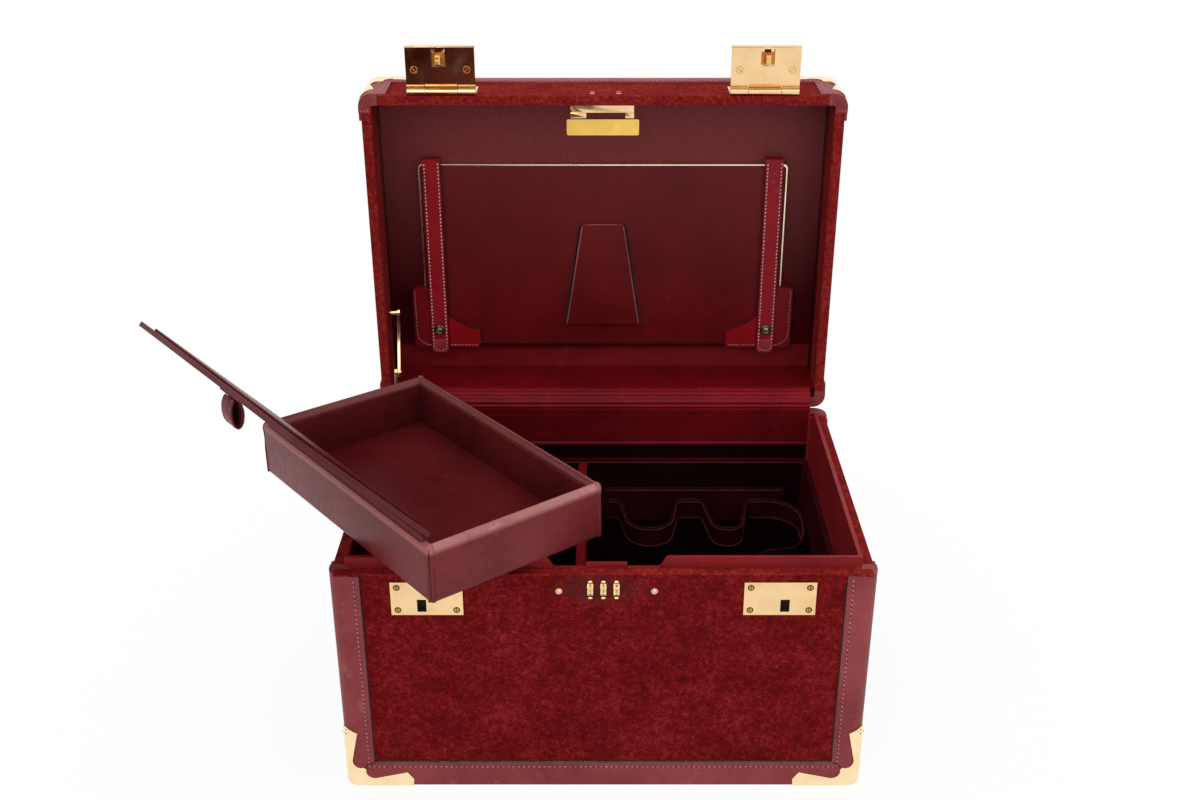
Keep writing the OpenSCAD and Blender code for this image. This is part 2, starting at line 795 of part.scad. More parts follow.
// Leather lining of the lid, thick at the back where the roll meets it
module lid_lining() {
  half = case_w / 2 - lid_in;
  color(dark_leather) on_lid() difference() {
    case_block(lid_in, lid_z + rim_t, ceiling_z + 1);
    intersection() {
      case_block(rim_w, lid_z, ceiling_z);
      box([-half, front_y, lid_z], [half, case_d / 2 - back_pad, ceiling_z]);
    }
    catch_rivets_at() stub(1, front_y, front_y + rim_w + 1, 0, 0);
  }
}

module lid_corner_guards() {
  color(brass) on_lid() lid_guards();
}

// Brass catch on the lid's front wall: two hooked legs that drop into the lip's notch
module catch_bracket() {
  y0 = front_y + rim_w;
  z0 = lid_z + 3;
  color(brass) on_lid() {
    difference() {
      box([lock_x - 24, y0, z0], [lock_x + 19, y0 + 1, z0 + 9]);
      catch_rivets_at() stub(1, front_y, y0 + 2, 0, 0);
    }
    box([lock_x - 24, y0 + 1, z0], [lock_x + 19, y0 + 5.5, z0 + 1.4]);
    box([lock_x - 24, y0 + 5.5, lid_z], [lock_x - tab_half - 1, y0 + 8.5, z0 + 1.4]);
    box([lock_x + tab_half + 0.8, y0 + 5.5, lid_z], [lock_x + 19, y0 + 8.5, z0 + 1.4]);
    catch_rivets_at() {
      stub(1, panel_y, y0 + 1, 0, 0);
      intersection() {
        translate([0, panel_y + 1.1, 0]) sphere(2.1);
        stub(1.8, panel_y - 2, panel_y, 0, 0);
      }
    }
  }
}

module plain_plate() {
  color(brass) on_lid() translate([0, front_y + 33.3, ceiling_z - 1]) linear_extrude(1)
    rrect(51.3, 11.8, 1.6);
}

// The mirror lies face down against the lid's ceiling
mirror_y = case_d / 2 - mirror_low - mirror_h / 2;
mirror_z = ceiling_z - mirror_t;
frame_w = 1.2;
module mirror_plan(inset) {
  translate([0, mirror_y]) rrect(mirror_w - 2 * inset, mirror_h - 2 * inset, 3);
}

module mirror_glass() {
  color("#c8d2d6") on_lid() translate([0, 0, ceiling_z - 2.2]) linear_extrude(2)
    mirror_plan(frame_w);
}

module mirror_frame() {
  color(brass) on_lid() translate([0, 0, mirror_z + 0.6]) linear_extrude(mirror_t - 0.8)
    difference() {
      mirror_plan(0);
      mirror_plan(frame_w);
    }
}

module mirror_back() {
  color(dark_leather) on_lid() translate([0, 0, mirror_z])
    linear_extrude(mirror_t - 2.2) mirror_plan(frame_w);
}

strut_top = mirror_low + mirror_h * 0.68;
strut_l = mirror_h * 0.5632;
strut_t = 2.6;
module easel_strut() {
  y_top = case_d / 2 - strut_top;
  color(dark_leather) on_lid() translate([0, y_top, mirror_z - strut_t - 0.2])
    union() {
      linear_extrude(strut_t)
        polygon([[-15.3, 0], [15.3, 0], [27.3, strut_l], [-27.3, strut_l]]);
      rod(strut_t / 2, -15.3, 15.3, 0, strut_t / 2);
    }
}

// Corner pockets that hold the mirror's lower corners
pocket_t = 1.8;
module pocket_plan() {
  x1 = mirror_w / 2 + 9;
  y1 = case_d / 2 - mirror_low + 2.5;
  difference() {
    translate([x1 - 24.5, y1 - 24]) rrect(49, 48, 3);
    translate([x1 - 57.7, y1 - 60.1]) circle(47.3);
  }
}

module pocket_right() {
  slack = 0.3;
  translate([0, 0, mirror_z - pocket_t - slack]) linear_extrude(pocket_t) pocket_plan();
  difference() {
    translate([0, 0, mirror_z - slack - eps]) linear_extrude(mirror_t + slack + eps)
      intersection() {
        pocket_plan();
        translate([0, mirror_y]) square([2 * case_w, mirror_h + 20], center = true);
      }
    translate([0, 0, mirror_z - slack - 1]) linear_extrude(mirror_t + 2) mirror_plan(-slack);
  }
}

module mirror_pockets() {
  color(red_leather) on_lid() for (s = [0, 1]) mirror([s, 0, 0]) pocket_right();
}

// A strap runs from the ceiling over the mirror's top edge and down past its pocket
strap_y0 = case_d / 2 - mirror_low - mirror_h - 4;
strap_y1 = case_d / 2 - mirror_low + 6;
strap_z = mirror_z - pocket_t - 0.6 - strap_t;
strap_roll = 1.9;
snap_y = case_d / 2 - mirror_low - 13;
module strap(s) {
  color(red_leather) on_lid() difference() {
    union() {
      translate([s * strap_x, (strap_y0 + strap_y1) / 2, strap_z]) linear_extrude(strap_t)
        rrect(strap_w, strap_y1 - strap_y0, 3);
      rod(strap_roll, s * strap_x - strap_w / 2, s * strap_x + strap_w / 2,
        strap_y0 + 1.1, ceiling_z - strap_roll - 0.1);
      box([s * strap_x - strap_w / 2, strap_y0 + 1.1 - strap_roll, strap_z],
        [s * strap_x + strap_w / 2, strap_y0 + 1.1 + strap_roll, ceiling_z - strap_roll - 0.1]);
    }
    translate([s * strap_x, snap_y, strap_z - 1]) cylinder(r = 1.5, h = strap_t + 2);
  }
}

module snap(s) {
  color("#5f6a52") on_lid() translate([s * strap_x, snap_y, strap_z]) {
    cylinder(r = 1.5, h = strap_t);
    intersection() {
      translate([0, 0, 3.1]) sphere(4.7);
      translate([0, 0, -2]) cylinder(r = 3.4, h = 2);
    }
  }
}

module strap_left() { strap(-1); }
module strap_right() { strap(1); }
module snap_left() { snap(-1); }
module snap_right() { snap(1); }

// Fixed leaves of the hasps on the lid's front, with the outer knuckles
hasp_mid = 11;
module hasp_mounts() {
  color(brass) on_lid() for (s = [-1, 1]) translate([s * hasp_x, 0, 0]) difference() {
    union() {
      box([-hasp_w / 2, panel_y - plate_t, hasp_z + hasp_knuckle_r + 0.2],
        [hasp_w / 2, panel_y, hasp_z + 22]);
      for (e = [-1, 1]) {
        x0 = e > 0 ? hasp_mid + 0.2 : -hasp_w / 2;
        x1 = e > 0 ? hasp_w / 2 : -hasp_mid - 0.2;
        rod(hasp_knuckle_r, x0, x1, hasp_y, hasp_z);
        box([x0, panel_y - plate_t, hasp_z], [x1, panel_y, hasp_z + hasp_knuckle_r + 1]);
      }
    }
    rod(hasp_pin_r, -hasp_w, hasp_w, hasp_y, hasp_z);
  }
}

module hasp_pins() {
  color(brass) on_lid() for (s = [-1, 1])
    rod(hasp_pin_r, s * hasp_x - hasp_w / 2, s * hasp_x + hasp_w / 2, hasp_y, hasp_z);
}

// A hasp is drawn hanging shut from its pin and then raised
module on_hasp(s) {
  on_lid() translate([s * hasp_x, hasp_y, hasp_z]) rotate([-hasp_open, 0, 0]) children();
}

window_z0 = -hasp_l + 1.9;
window_z1 = -14;
knob_half = 4;

// Shallow brass cover with the middle knuckle and a slot for the slide's knob
module hasp_cover(s) {
  inner = hasp_back - hasp_skin;
  neck = -hasp_knuckle_r - 0.4;
  color(brass) on_hasp(s) difference() {
    union() {
      difference() {
        box([-hasp_w / 2, hasp_front, -hasp_l], [hasp_w / 2, inner, neck]);
        box([-hasp_w / 2 + 1, hasp_front + 1, -hasp_l + 1], [hasp_w / 2 - 1, inner + 1, neck - 1]);
      }
      rod(hasp_knuckle_r, -hasp_mid, hasp_mid, 0, 0);
      box([-hasp_mid, -1.2, neck - 0.5], [hasp_mid, inner, 0]);
    }
    rod(hasp_pin_r + running, -hasp_w, hasp_w, 0, 0);
    translate([s * (hook_x - hasp_x), 0, 0])
      box([-knob_half / 2 - 0.2, hasp_front - 1, hook_z - 2 - hook_travel - 0.3],
        [knob_half / 2 + 0.2, hasp_front + 2, hook_z + 2.3]);
  }
}

// Inner plate with the hook's window and two screws
module hasp_plate(s) {
  inner = hasp_back - hasp_skin;
  color(brass) on_hasp(s) difference() {
    union() {
      box([-hasp_w / 2, inner, -hasp_l], [hasp_w / 2, hasp_back, -hasp_knuckle_r - 0.4]);
      for (e = [-1, 1]) translate([e * (hasp_w / 2 - 5.5), 0, -15])
        stub(2.3, hasp_back, hasp_back + 0.25, 0, 0);
    }
    translate([s * (hook_x - hasp_x), 0, 0])
      box([-5.5, inner - 1, window_z0], [5.5, hasp_back + 1, window_z1]);
    for (e = [-1, 1]) translate([e * (hasp_w / 2 - 5.5), 0, -15]) rotate([0, 35 * e, 0])
      box([-3, hasp_back + 0.1, -0.3], [3, hasp_back + 1, 0.3]);
  }
}

// Sliding hook: knob outside, slide inside the cover, stem and nose through the window
module hook(s) {
  inner = hasp_back - hasp_skin;
  color(brass) on_hasp(s) translate([s * (hook_x - hasp_x), 0, hook_z]) {
    box([-4.6, hasp_front + 1.1, -2], [4.6, inner - 0.1, 6]);
    box([-1.75, inner - 0.1, -1], [1.75, hasp_back + 4.6, 1.7]);
    box([-1.75, hasp_back + hasp_clear + plate_t + 0.3, 1.7], [1.75, hasp_back + 4.6, 5.2]);
    box([-knob_half / 2, hasp_front - 1, -2], [knob_half / 2, hasp_front + 1.1, 2]);
    translate([0, hasp_front - 1.8, 0]) rotate([-90, 0, 0]) linear_extrude(1.2)
      rrect(9, 5, 2);
  }
}

module hasp_cover_left() { hasp_cover(-1); }
module hasp_cover_right() { hasp_cover(1); }
module hasp_plate_left() { hasp_plate(-1); }
module hasp_plate_right() { hasp_plate(1); }
module hook_left() { hook(-1); }
module hook_right() { hook(1); }

// Handle on the lid's top: forked posts with their pins
eye_half = 3;
module handle_posts() {
  top = lid_top - band_t + panel_t;
  z = lid_top + post_h;
  color(brass) on_lid() for (s = [-1, 1]) translate([s * post_x, 0, 0]) {
    translate([0, 0, top]) linear_extrude(1.6) rrect(18, 20, 3);
    for (e = [-1, 1]) translate([e * (eye_half + 1.5) - 1.2, 0, 0]) {
      rod(3.4, 0, 2.4, 0, z);
      box([0, -3.4, top + 1.6], [2.4, 3.4, z]);
    }
    rod(1.5, -eye_half - 0.3, eye_half + 0.3, 0, z);
  }
}

// Stitched leather grip on brass eyes, folded towards the hinge
module handle_grip() {
  z = lid_top + post_h;
  bend = post_x - 12;
  color(leather) on_lid() translate([0, 0, z]) {
    for (s = [0, 1]) mirror([s, 0, 0]) {
      difference() {
        hull() {
          rod(3.2, post_x - eye_half, post_x + eye_half, 0, 0);
          translate([post_x, 13, 0]) sphere(eye_half, $fn = 24);
        }
        rod(1.5 + running, post_x - 10, post_x + 10, 0, 0);
      }
      hull() {
        translate([post_x, 13, 0]) sphere(eye_half, $fn = 24);
        translate([bend, grip_out, 0]) sphere(grip_r - 1, $fn = 24);
      }
      hull() {
        translate([bend, grip_out, 0]) sphere(grip_r - 1, $fn = 24);
        translate([0, grip_out + 1, 0]) sphere(grip_r, $fn = 24);
      }
    }
  }
}

module on_tray() {
  translate([tray_at[0], tray_at[1], tray_z]) rotate([0, 0, tray_turn]) children();
}

// Leather-covered tray wall and floor
module tray_shell() {
  color(leather) on_tray() difference() {
    rblock(tray_w, tray_l, 4, 0, tray_h);
    rblock(tray_w - 2 * tray_wall, tray_l - 2 * tray_wall, 1.5, 3, tray_h + 1);
  }
}

module tray_lining() {
  in = 2 * tray_wall;
  color(dark_leather) on_tray() difference() {
    rblock(tray_w - in, tray_l - in, 1.5, 3, tray_h - rebate - pad_t);
    rblock(tray_w - in - 2 * tray_lining_t, tray_l - in - 2 * tray_lining_t, 1, 4.2, tray_h);
  }
}

// The tray's lid is drawn shut in its rebate and then turned open
module on_tray_lid() {
  on_tray() translate([tray_axis_x, 0, tray_axis_z]) rotate([0, -tray_lid_open, 0])
    translate([-tray_axis_x, 0, -tray_axis_z]) children();
}

lid_plan_w = tray_w - 2 * tray_wall - 2 * lid_inset;
lid_plan_l = tray_l - 2 * tray_wall - 2 * lid_inset;
flap_half = lid_plan_l / 2 - 4;
module tray_lid() {
  top = tray_h - 0.4;
  edge = -lid_plan_w / 2;
  color(leather) on_tray_lid() {
    rblock(lid_plan_w, lid_plan_l, 2, top - lid_t, top);
    box([edge, -flap_half, top], [edge + 3, flap_half, tray_axis_z - flap_t]);
    box([tray_axis_x, -flap_half, tray_axis_z - flap_t], [edge + 3, flap_half, tray_axis_z]);
    translate([tray_axis_x, -flap_half, tray_axis_z]) rotate([-90, 0, 0])
      cylinder(r = flap_t, h = 2 * flap_half);
  }
}

module tray_lid_pad() {
  z1 = tray_h - 0.4 - lid_t;
  color(dark_leather) on_tray_lid()
    rblock(lid_plan_w - 12, lid_plan_l - 12, 4, z1 - pad_t, z1);
}

// Pull loop sewn near the free edge of the tray's lid; it hangs straight down when that
// lid is open, so on the shut lid it lies back
module tray_loop() {
  lean = 90 - (tray_lid_open - 90);
  color(leather) on_tray_lid() translate([lid_plan_w / 2 - loop_from_edge, 0, tray_h - 0.4])
    rotate([90, 0, 0]) linear_extrude(pull_w, center = true) union() {
      translate([-3, 0]) square([9, 1.4]);
      translate([0, 1.6]) rotate(lean) translate([0, pull_l / 2]) difference() {
        rrect(7.5, pull_l, 3.7);
        rrect(5.1, pull_l - 2.4, 2.5);
      }
    }
}

base_shell();
base_front_panel();
base_cover();
base_edge_bands();
base_rim();
base_lip();
base_lining();
base_back_pad();
divider();
bottle_loops();
base_corner_guards();
latch_plates();
latch_screws();
lock_case();
lock_axle();
lock_wheel_left();
lock_wheel_centre();
lock_wheel_right();
hinge_leaf_base();
hinge_pin();
hinge_gusset();
stay_bracket();
stay_lower_arm();
stay_upper_arm();
lid_shell();
lid_front_panel();
lid_cover();
lid_edge_bands();
lid_rim();
lid_lining();
lid_corner_guards();
hinge_leaf_lid();
catch_bracket();
plain_plate();
mirror_glass();
mirror_frame();
mirror_back();
easel_strut();
mirror_pockets();
strap_left();
strap_right();
snap_left();
snap_right();
stay_stud();
hasp_mounts();
hasp_pins();
hasp_cover_left();
hasp_cover_right();
hasp_plate_left();
hasp_plate_right();
hook_left();
hook_right();
handle_posts();
handle_grip();
tray_shell();
tray_lining();
tray_lid();
tray_lid_pad();
tray_loop();
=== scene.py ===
"""Vanity case: leather, suede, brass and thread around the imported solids."""

import logging
import math
from dataclasses import dataclass, replace
from enum import Enum
from itertools import product
from typing import Callable, Dict, Iterable, List, Optional, Sequence, Tuple

import bmesh
import bpy
from mathutils import Matrix, Vector


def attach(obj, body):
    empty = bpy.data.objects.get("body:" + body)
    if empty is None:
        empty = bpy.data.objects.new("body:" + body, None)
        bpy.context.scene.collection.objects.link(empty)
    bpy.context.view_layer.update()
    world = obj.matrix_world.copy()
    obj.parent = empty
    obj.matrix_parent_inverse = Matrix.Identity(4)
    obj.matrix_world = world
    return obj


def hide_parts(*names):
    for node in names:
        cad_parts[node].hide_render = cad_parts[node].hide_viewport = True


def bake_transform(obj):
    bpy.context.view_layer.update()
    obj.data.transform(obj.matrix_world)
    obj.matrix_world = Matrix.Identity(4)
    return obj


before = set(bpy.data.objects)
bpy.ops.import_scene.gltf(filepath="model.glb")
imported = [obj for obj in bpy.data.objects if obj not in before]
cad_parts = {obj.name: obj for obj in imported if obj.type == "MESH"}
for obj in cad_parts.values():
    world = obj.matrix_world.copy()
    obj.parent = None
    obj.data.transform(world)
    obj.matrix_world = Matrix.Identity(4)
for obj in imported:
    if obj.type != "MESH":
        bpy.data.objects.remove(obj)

log = logging.getLogger("vanity_case")
Colour = Tuple[float, float, float]
Point = Tuple[float, float, float]
Pair = Tuple[float, float]
MM = 0.001
SIDES = (-1, 1)


class Body(Enum):
    """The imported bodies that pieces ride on."""

    BASE = "base"
    LID = "lid"
    TRAY = "tray"
    TRAY_LID = "tray_lid_body"
    HASP_LEFT = "hasp_l"
    HASP_RIGHT = "hasp_r"
    HOOK_LEFT = "slide_l"
    HOOK_RIGHT = "slide_r"
    WHEEL_LEFT = "wheel_l"
    WHEEL_CENTRE = "wheel_c"
    WHEEL_RIGHT = "wheel_r"
    STAY_LOWER = "stay_lower"
    STAY_UPPER = "stay_upper"
    HANDLE = "handle"
    STRUT = "strut"
    STRAP_LEFT = "strap_l"
    STRAP_RIGHT = "strap_r"


class Slot(Enum):
    """The record's material slots."""

    LEATHER = "leather"
    DARK_LEATHER = "dark_leather"
    RED_LEATHER = "red_leather"
    SUEDE = "suede"
    BRASS = "brass"
    DARK_BRASS = "dark_brass"


def at(x: float, y: float, z: float) -> Vector:
    """A point given in millimetres, in metres."""
    return Vector((x, y, z)) * MM


def shift(x: float, y: float, z: float) -> Matrix:
    """A move given in millimetres."""
    return Matrix.Translation(at(x, y, z))


def turn(angle: float, axis: str) -> Matrix:
    """A turn in degrees about a named axis."""
    return Matrix.Rotation(math.radians(angle), 4, axis)


def across(x: float) -> Matrix:
    """A frame at a distance along X, whose own X and Y lie along Y and Z."""
    return shift(x, 0, 0) @ Matrix(((0, 0, 1, 0), (1, 0, 0, 0), (0, 1, 0, 0), (0, 0, 0, 1)))


def along(y: float) -> Matrix:
    """A frame at a distance along Y, whose own X and Y lie along X and Z."""
    return shift(0, y, 0) @ Matrix(((1, 0, 0, 0), (0, 0, -1, 0), (0, 1, 0, 0), (0, 0, 0, 1)))


def arc(centre: Pair, radii: Pair, angles: Iterable[float]) -> List[Pair]:
    """Points round an oval.

    Args:
        centre: The oval's middle.
        radii: Its two half-sizes.
        angles: Where the points lie, in degrees.

    Returns:
        The points in the order of the angles.
    """
    turns = [math.radians(t) for t in angles]
    return [(centre[0] + radii[0] * math.cos(t), centre[1] + radii[1] * math.sin(t))
            for t in turns]


@dataclass(frozen=True)
class Plan:
    """Sizes in millimetres that several sub-assemblies share."""

    width: float = 330.0
    depth: float = 234.0
    base_h: float = 158.0
    lid_h: float = 46.0
    lid_gap: float = 0.4
    lid_open: float = 89.0
    band: float = 18.5
    foot_band: float = 17.5
    top_band: float = 11.0
    hinge: Pair = (117.3, 158.0)
    ceiling: float = 198.4
    mirror_low: float = 36.5
    mirror_w: float = 264.0
    mirror_h: float = 138.5
    strap_x: float = 122.0
    tray_at: Point = (-112.5, -42.0, 165.5)
    tray_turn: float = 38.2
    tray_axis: Pair = (-58.3, 38.7)
    tray_open: float = 132.0
    front_y: float = -117.0
    panel_y: float = -115.4
    hasp_pin: Point = (108.5, -117.8, 160.9)
    lock_x: float = 2.0

    @property
    def rim(self) -> float:
        """The level of the lid's rim when the lid is shut."""
        return self.base_h + self.lid_gap

    @property
    def mirror_y(self) -> float:
        """Where the mirror's lower edge lies when the lid is shut."""
        return self.depth / 2 - self.mirror_low

    @property
    def strap_z(self) -> float:
        """The straps' outer face when the lid is shut."""
        return self.ceiling - 9.0

    @property
    def lid(self) -> Matrix:
        """Carries what is drawn on the shut lid to the open lid."""
        y, z = self.hinge
        return shift(0, y, z) @ turn(-self.lid_open, "X") @ shift(0, -y, -z)

    def hasp(self, side: int) -> Matrix:
        """Carries what is drawn on a raised hasp, its pin along X at the origin."""
        x, y, z = self.hasp_pin
        return self.lid @ shift(side * x, y, z) @ turn(-90.0, "X")

    @property
    def tray(self) -> Matrix:
        """Carries the tray's own frame to where it is parked."""
        return shift(*self.tray_at) @ turn(self.tray_turn, "Z")

    @property
    def tray_lid(self) -> Matrix:
        """Carries what is drawn on the tray's shut lid to its open lid."""
        x, z = self.tray_axis
        return self.tray @ shift(x, 0, z) @ turn(-self.tray_open, "Y") @ shift(-x, 0, -z)


PLAN = Plan()


class Nodes:
    """A small builder for a material's or a group's node tree."""

    def __init__(self, tree: bpy.types.NodeTree) -> None:
        """Starts with an empty tree."""
        self.tree = tree
        tree.nodes.clear()

    def add(self, kind: str, **values: object) -> bpy.types.Node:
        """Adds a node.

        Args:
            kind: The node's type name without its ShaderNode prefix.
            **values: Attributes of the node, or values of its inputs by socket name with
                spaces written as underscores.

        Returns:
            The new node.
        """
        prefix = "" if kind.startswith("Node") else "ShaderNode"
        node = self.tree.nodes.new(prefix + kind)
        sockets = {s.name.replace(" ", "_"): s for s in reversed(list(node.inputs))}
        for key, value in values.items():
            if key in sockets:
                self.feed(sockets[key], value)
            else:
                setattr(node, key, value)
        return node

    def feed(self, socket: bpy.types.NodeSocket, value: object) -> None:
        """Sets a socket's value, or links another socket to it.

        Args:
            socket: The input.
            value: A value, or the output to link.
        """
        if isinstance(value, bpy.types.NodeSocket):
            self.tree.links.new(value, socket)
        elif isinstance(value, tuple) and len(value) == 3 and socket.type == "RGBA":
            socket.default_value = (*value, 1.0)
        else:
            socket.default_value = value

    def noise(self, vector: bpy.types.NodeSocket, scale: float, detail: float = 3.0,
              rough: float = 0.55) -> bpy.types.NodeSocket:
        """Noise of that many features a metre, about 0.5."""
        node = self.add("TexNoise", Vector=vector, Scale=scale, Detail=detail, Roughness=rough)
        return node.outputs["Fac"]

    def ramp(self, value: bpy.types.NodeSocket, low: float, high: float,
             to_low: float = 0.0, to_high: float = 1.0) -> bpy.types.NodeSocket:
        """Stretches a value between two limits.

        Args:
            value: What is stretched.
            low: The value that gives to_low.
            high: The value that gives to_high.
            to_low: The result at low and below.
            to_high: The result at high and above.

        Returns:
            The result.
        """
        node = self.add("MapRange", Value=value, From_Min=low, From_Max=high,
                        To_Min=to_low, To_Max=to_high)
        return node.outputs["Result"]

    def math(self, how: str, a: object, b: object = 0.0) -> bpy.types.NodeSocket:
        """Works out two values.

        Args:
            how: The Math node's operation.
            a: The first value or output.
            b: The second one.

        Returns:
            The result.
        """
        node = self.tree.nodes.new("ShaderNodeMath")
        node.operation = how
        self.feed(node.inputs[0], a)
        self.feed(node.inputs[1], b)
        return node.outputs[0]

    def mix(self, factor: object, a: object, b: object,
            how: str = "MIX") -> bpy.types.NodeSocket:
        """Mixes two colours.

        Args:
            factor: The second colour's share.
            a: The first colour.
            b: The second colour.
            how: The way of mixing.

        Returns:
            The mixed colour.
        """
        node = self.tree.nodes.new("ShaderNodeMix")
        node.data_type = "RGBA"
        node.blend_type = how
        self.feed(node.inputs[0], factor)
        self.feed(node.inputs[6], a)
        self.feed(node.inputs[7], b)
        return node.outputs[2]


def linear(colour: str) -> Colour:
    """Turns a hex screen colour into linear light."""
    parts = [int(colour[i:i + 2], 16) / 255 for i in (1, 3, 5)]
    return tuple(p / 12.92 if p <= 0.04045 else ((p + 0.055) / 1.055) ** 2.4 for p in parts)


def new_group(name: str, inputs: Dict[str, Tuple[str, object]],
              outputs: Dict[str, str]) -> Tuple[bpy.types.NodeTree, Nodes, object, object]:
    """Starts a shader node group.

    Args:
        name: The group's name.
        inputs: Socket name to kind and first value.
        outputs: Socket name to kind.

    Returns:
        The tree, a builder for it, and its input and output nodes.
    """
    tree = bpy.data.node_groups.new(name, "ShaderNodeTree")
    for label, (kind, value) in inputs.items():
        socket = tree.interface.new_socket(label, in_out="INPUT", socket_type="NodeSocket" + kind)
        if value is not None:
            socket.default_value = value
    for label, kind in outputs.items():
        tree.interface.new_socket(label, in_out="OUTPUT", socket_type="NodeSocket" + kind)
    nodes = Nodes(tree)
    return tree, nodes, nodes.add("NodeGroupInput"), nodes.add("NodeGroupOutput")


def grain_group() -> bpy.types.NodeTree:
    """Makes leather: a fine pebbled or crossed grain with soft mottling and pale scuffs, and
    painted light that turns it pale towards the top where asked.

    Returns:
        The shader node group.
    """
    tree, n, start, end = new_group(
        "leather_grain",
        {"Vector": ("Vector", None), "Grain": ("Float", 900.0), "Cross": ("Float", 0.0),
         "Colour": ("Color", (0.2, 0.05, 0.06, 1.0)), "Shade": ("Color", (0.1, 0.02, 0.03, 1.0)),
         "Scuff": ("Color", (0.4, 0.2, 0.2, 1.0)), "Scuffs": ("Float", 0.3),
         "Rough": ("Float", 0.45), "Level": ("Float", 0.0), "Reach": ("Float", 1.0),
         "Wear": ("Float", 0.0)},
        {"Color": "Color", "Height": "Float", "Roughness": "Float"})
    vector = start.outputs["Vector"]
    cells = n.add("TexVoronoi", Vector=vector, Scale=start.outputs["Grain"])
    cells.feature = "SMOOTH_F1"
    ribs = n.add("TexWave", Vector=vector, Scale=n.math("MULTIPLY", start.outputs["Grain"], 0.32),
                 Distortion=3.0, Detail=2.0, Detail_Scale=1.4)
    ribs.wave_type = "BANDS"
    ribs.bands_direction = "Z"
    crossed = n.math("MULTIPLY", ribs.outputs["Fac"], start.outputs["Cross"])
    pebble = n.math("MULTIPLY", cells.outputs["Distance"], 0.7)
    height = n.math("ADD", pebble, crossed)
    broad = n.ramp(n.noise(vector, 22.0, 4.0), 0.35, 0.65)
    fine = n.ramp(n.noise(vector, 260.0, 2.0), 0.3, 0.7)
    shade = n.math("ADD", n.math("MULTIPLY", broad, 0.6), n.math("MULTIPLY", fine, 0.25))
    dark = n.mix(shade, start.outputs["Shade"], start.outputs["Colour"])
    pores = n.ramp(height, 0.1, 0.75, 0.88, 1.06)
    body = n.mix(1.0, dark, pores, "MULTIPLY")
    worn = n.ramp(n.noise(vector, 55.0, 8.0, 0.72), 0.6, 0.74)
    worn = n.math("MULTIPLY", worn, start.outputs["Scuffs"])
    # Painted light: above the given level the colour turns pale with height, as light on the upper
    # parts.
    lift = n.add("SeparateXYZ", Vector=vector).outputs["Z"]
    lift = n.math("SUBTRACT", lift, start.outputs["Level"])
    lift = n.math("DIVIDE", lift, start.outputs["Reach"])
    lift = n.add("Clamp", Value=lift).outputs["Result"]
    painted_light = n.math("MULTIPLY", lift, n.ramp(n.noise(vector, 420.0, 4.0, 0.7), 0.2, 0.8, 0.6, 1.0))
    painted_light = n.math("MULTIPLY", painted_light, start.outputs["Wear"])
    # From here the pale share holds both the scuffs and the painted light.
    worn = n.math("MAXIMUM", worn, painted_light)
    n.feed(end.inputs["Color"], n.mix(worn, body, start.outputs["Scuff"]))
    n.feed(end.inputs["Height"], n.math("ADD", height, n.math("MULTIPLY", broad, 0.8)))
    rough = n.math("ADD", start.outputs["Rough"], n.ramp(fine, 0.0, 1.0, -0.05, 0.08))
    n.feed(end.inputs["Roughness"], rough)
    return tree


def nap_group() -> bpy.types.NodeTree:
    """Makes suede: brushed patches in three reds with a short tufted nap.

    Returns:
        The shader node group.
    """
    tree, n, start, end = new_group(
        "suede_nap",
        {"Vector": ("Vector", None), "Nap": ("Float", 700.0),
         "Deep": ("Color", (0.1, 0.0, 0.0, 1.0)), "Colour": ("Color", (0.2, 0.01, 0.01, 1.0)),
         "Bright": ("Color", (0.4, 0.03, 0.03, 1.0))},
        {"Color": "Color", "Height": "Float"})
    vector = start.outputs["Vector"]
    patches = n.noise(vector, 48.0, 5.0, 0.62)
    tufts = n.noise(vector, 300.0, 4.0, 0.7)
    hairs = n.noise(vector, start.outputs["Nap"], 3.0, 0.75)
    value = n.math("ADD", n.math("MULTIPLY", patches, 0.26), n.math("MULTIPLY", tufts, 0.46))
    value = n.math("ADD", value, n.math("MULTIPLY", hairs, 0.48))
    low = n.mix(n.ramp(value, 0.44, 0.6), start.outputs["Deep"], start.outputs["Colour"])
    n.feed(end.inputs["Color"], n.mix(n.ramp(value, 0.6, 0.78), low, start.outputs["Bright"]))
    n.feed(end.inputs["Height"], n.math("ADD", tufts, n.math("MULTIPLY", hairs, 0.8)))
    return tree


def patina_group() -> bpy.types.NodeTree:
    """Makes polished metal: smudges, hairline scratches and a warmer tone in places.

    Returns:
        The shader node group.
    """
    tree, n, start, end = new_group(
        "metal_patina",
        {"Vector": ("Vector", None), "Colour": ("Color", (1.0, 0.7, 0.3, 1.0)),
         "Tarnish": ("Color", (0.6, 0.35, 0.1, 1.0)), "Rough": ("Float", 0.15),
         "Brush": ("Float", 0.0)},
        {"Color": "Color", "Height": "Float", "Roughness": "Float"})
    vector = start.outputs["Vector"]
    smudge = n.ramp(n.noise(vector, 60.0, 5.0, 0.6), 0.42, 0.72)
    stretch = n.add("Mapping", Vector=vector, Scale=(60.0, 2400.0, 2400.0))
    lines = n.noise(stretch.outputs["Vector"], 1.0, 2.0)
    n.feed(end.inputs["Color"], n.mix(n.math("MULTIPLY", smudge, 0.35), start.outputs["Colour"],
                                      start.outputs["Tarnish"]))
    spread = n.math("MULTIPLY", smudge, 0.12)
    n.feed(end.inputs["Roughness"], n.math("ADD", start.outputs["Rough"], spread))
    n.feed(end.inputs["Height"], n.math("MULTIPLY", lines, start.outputs["Brush"]))
    return tree


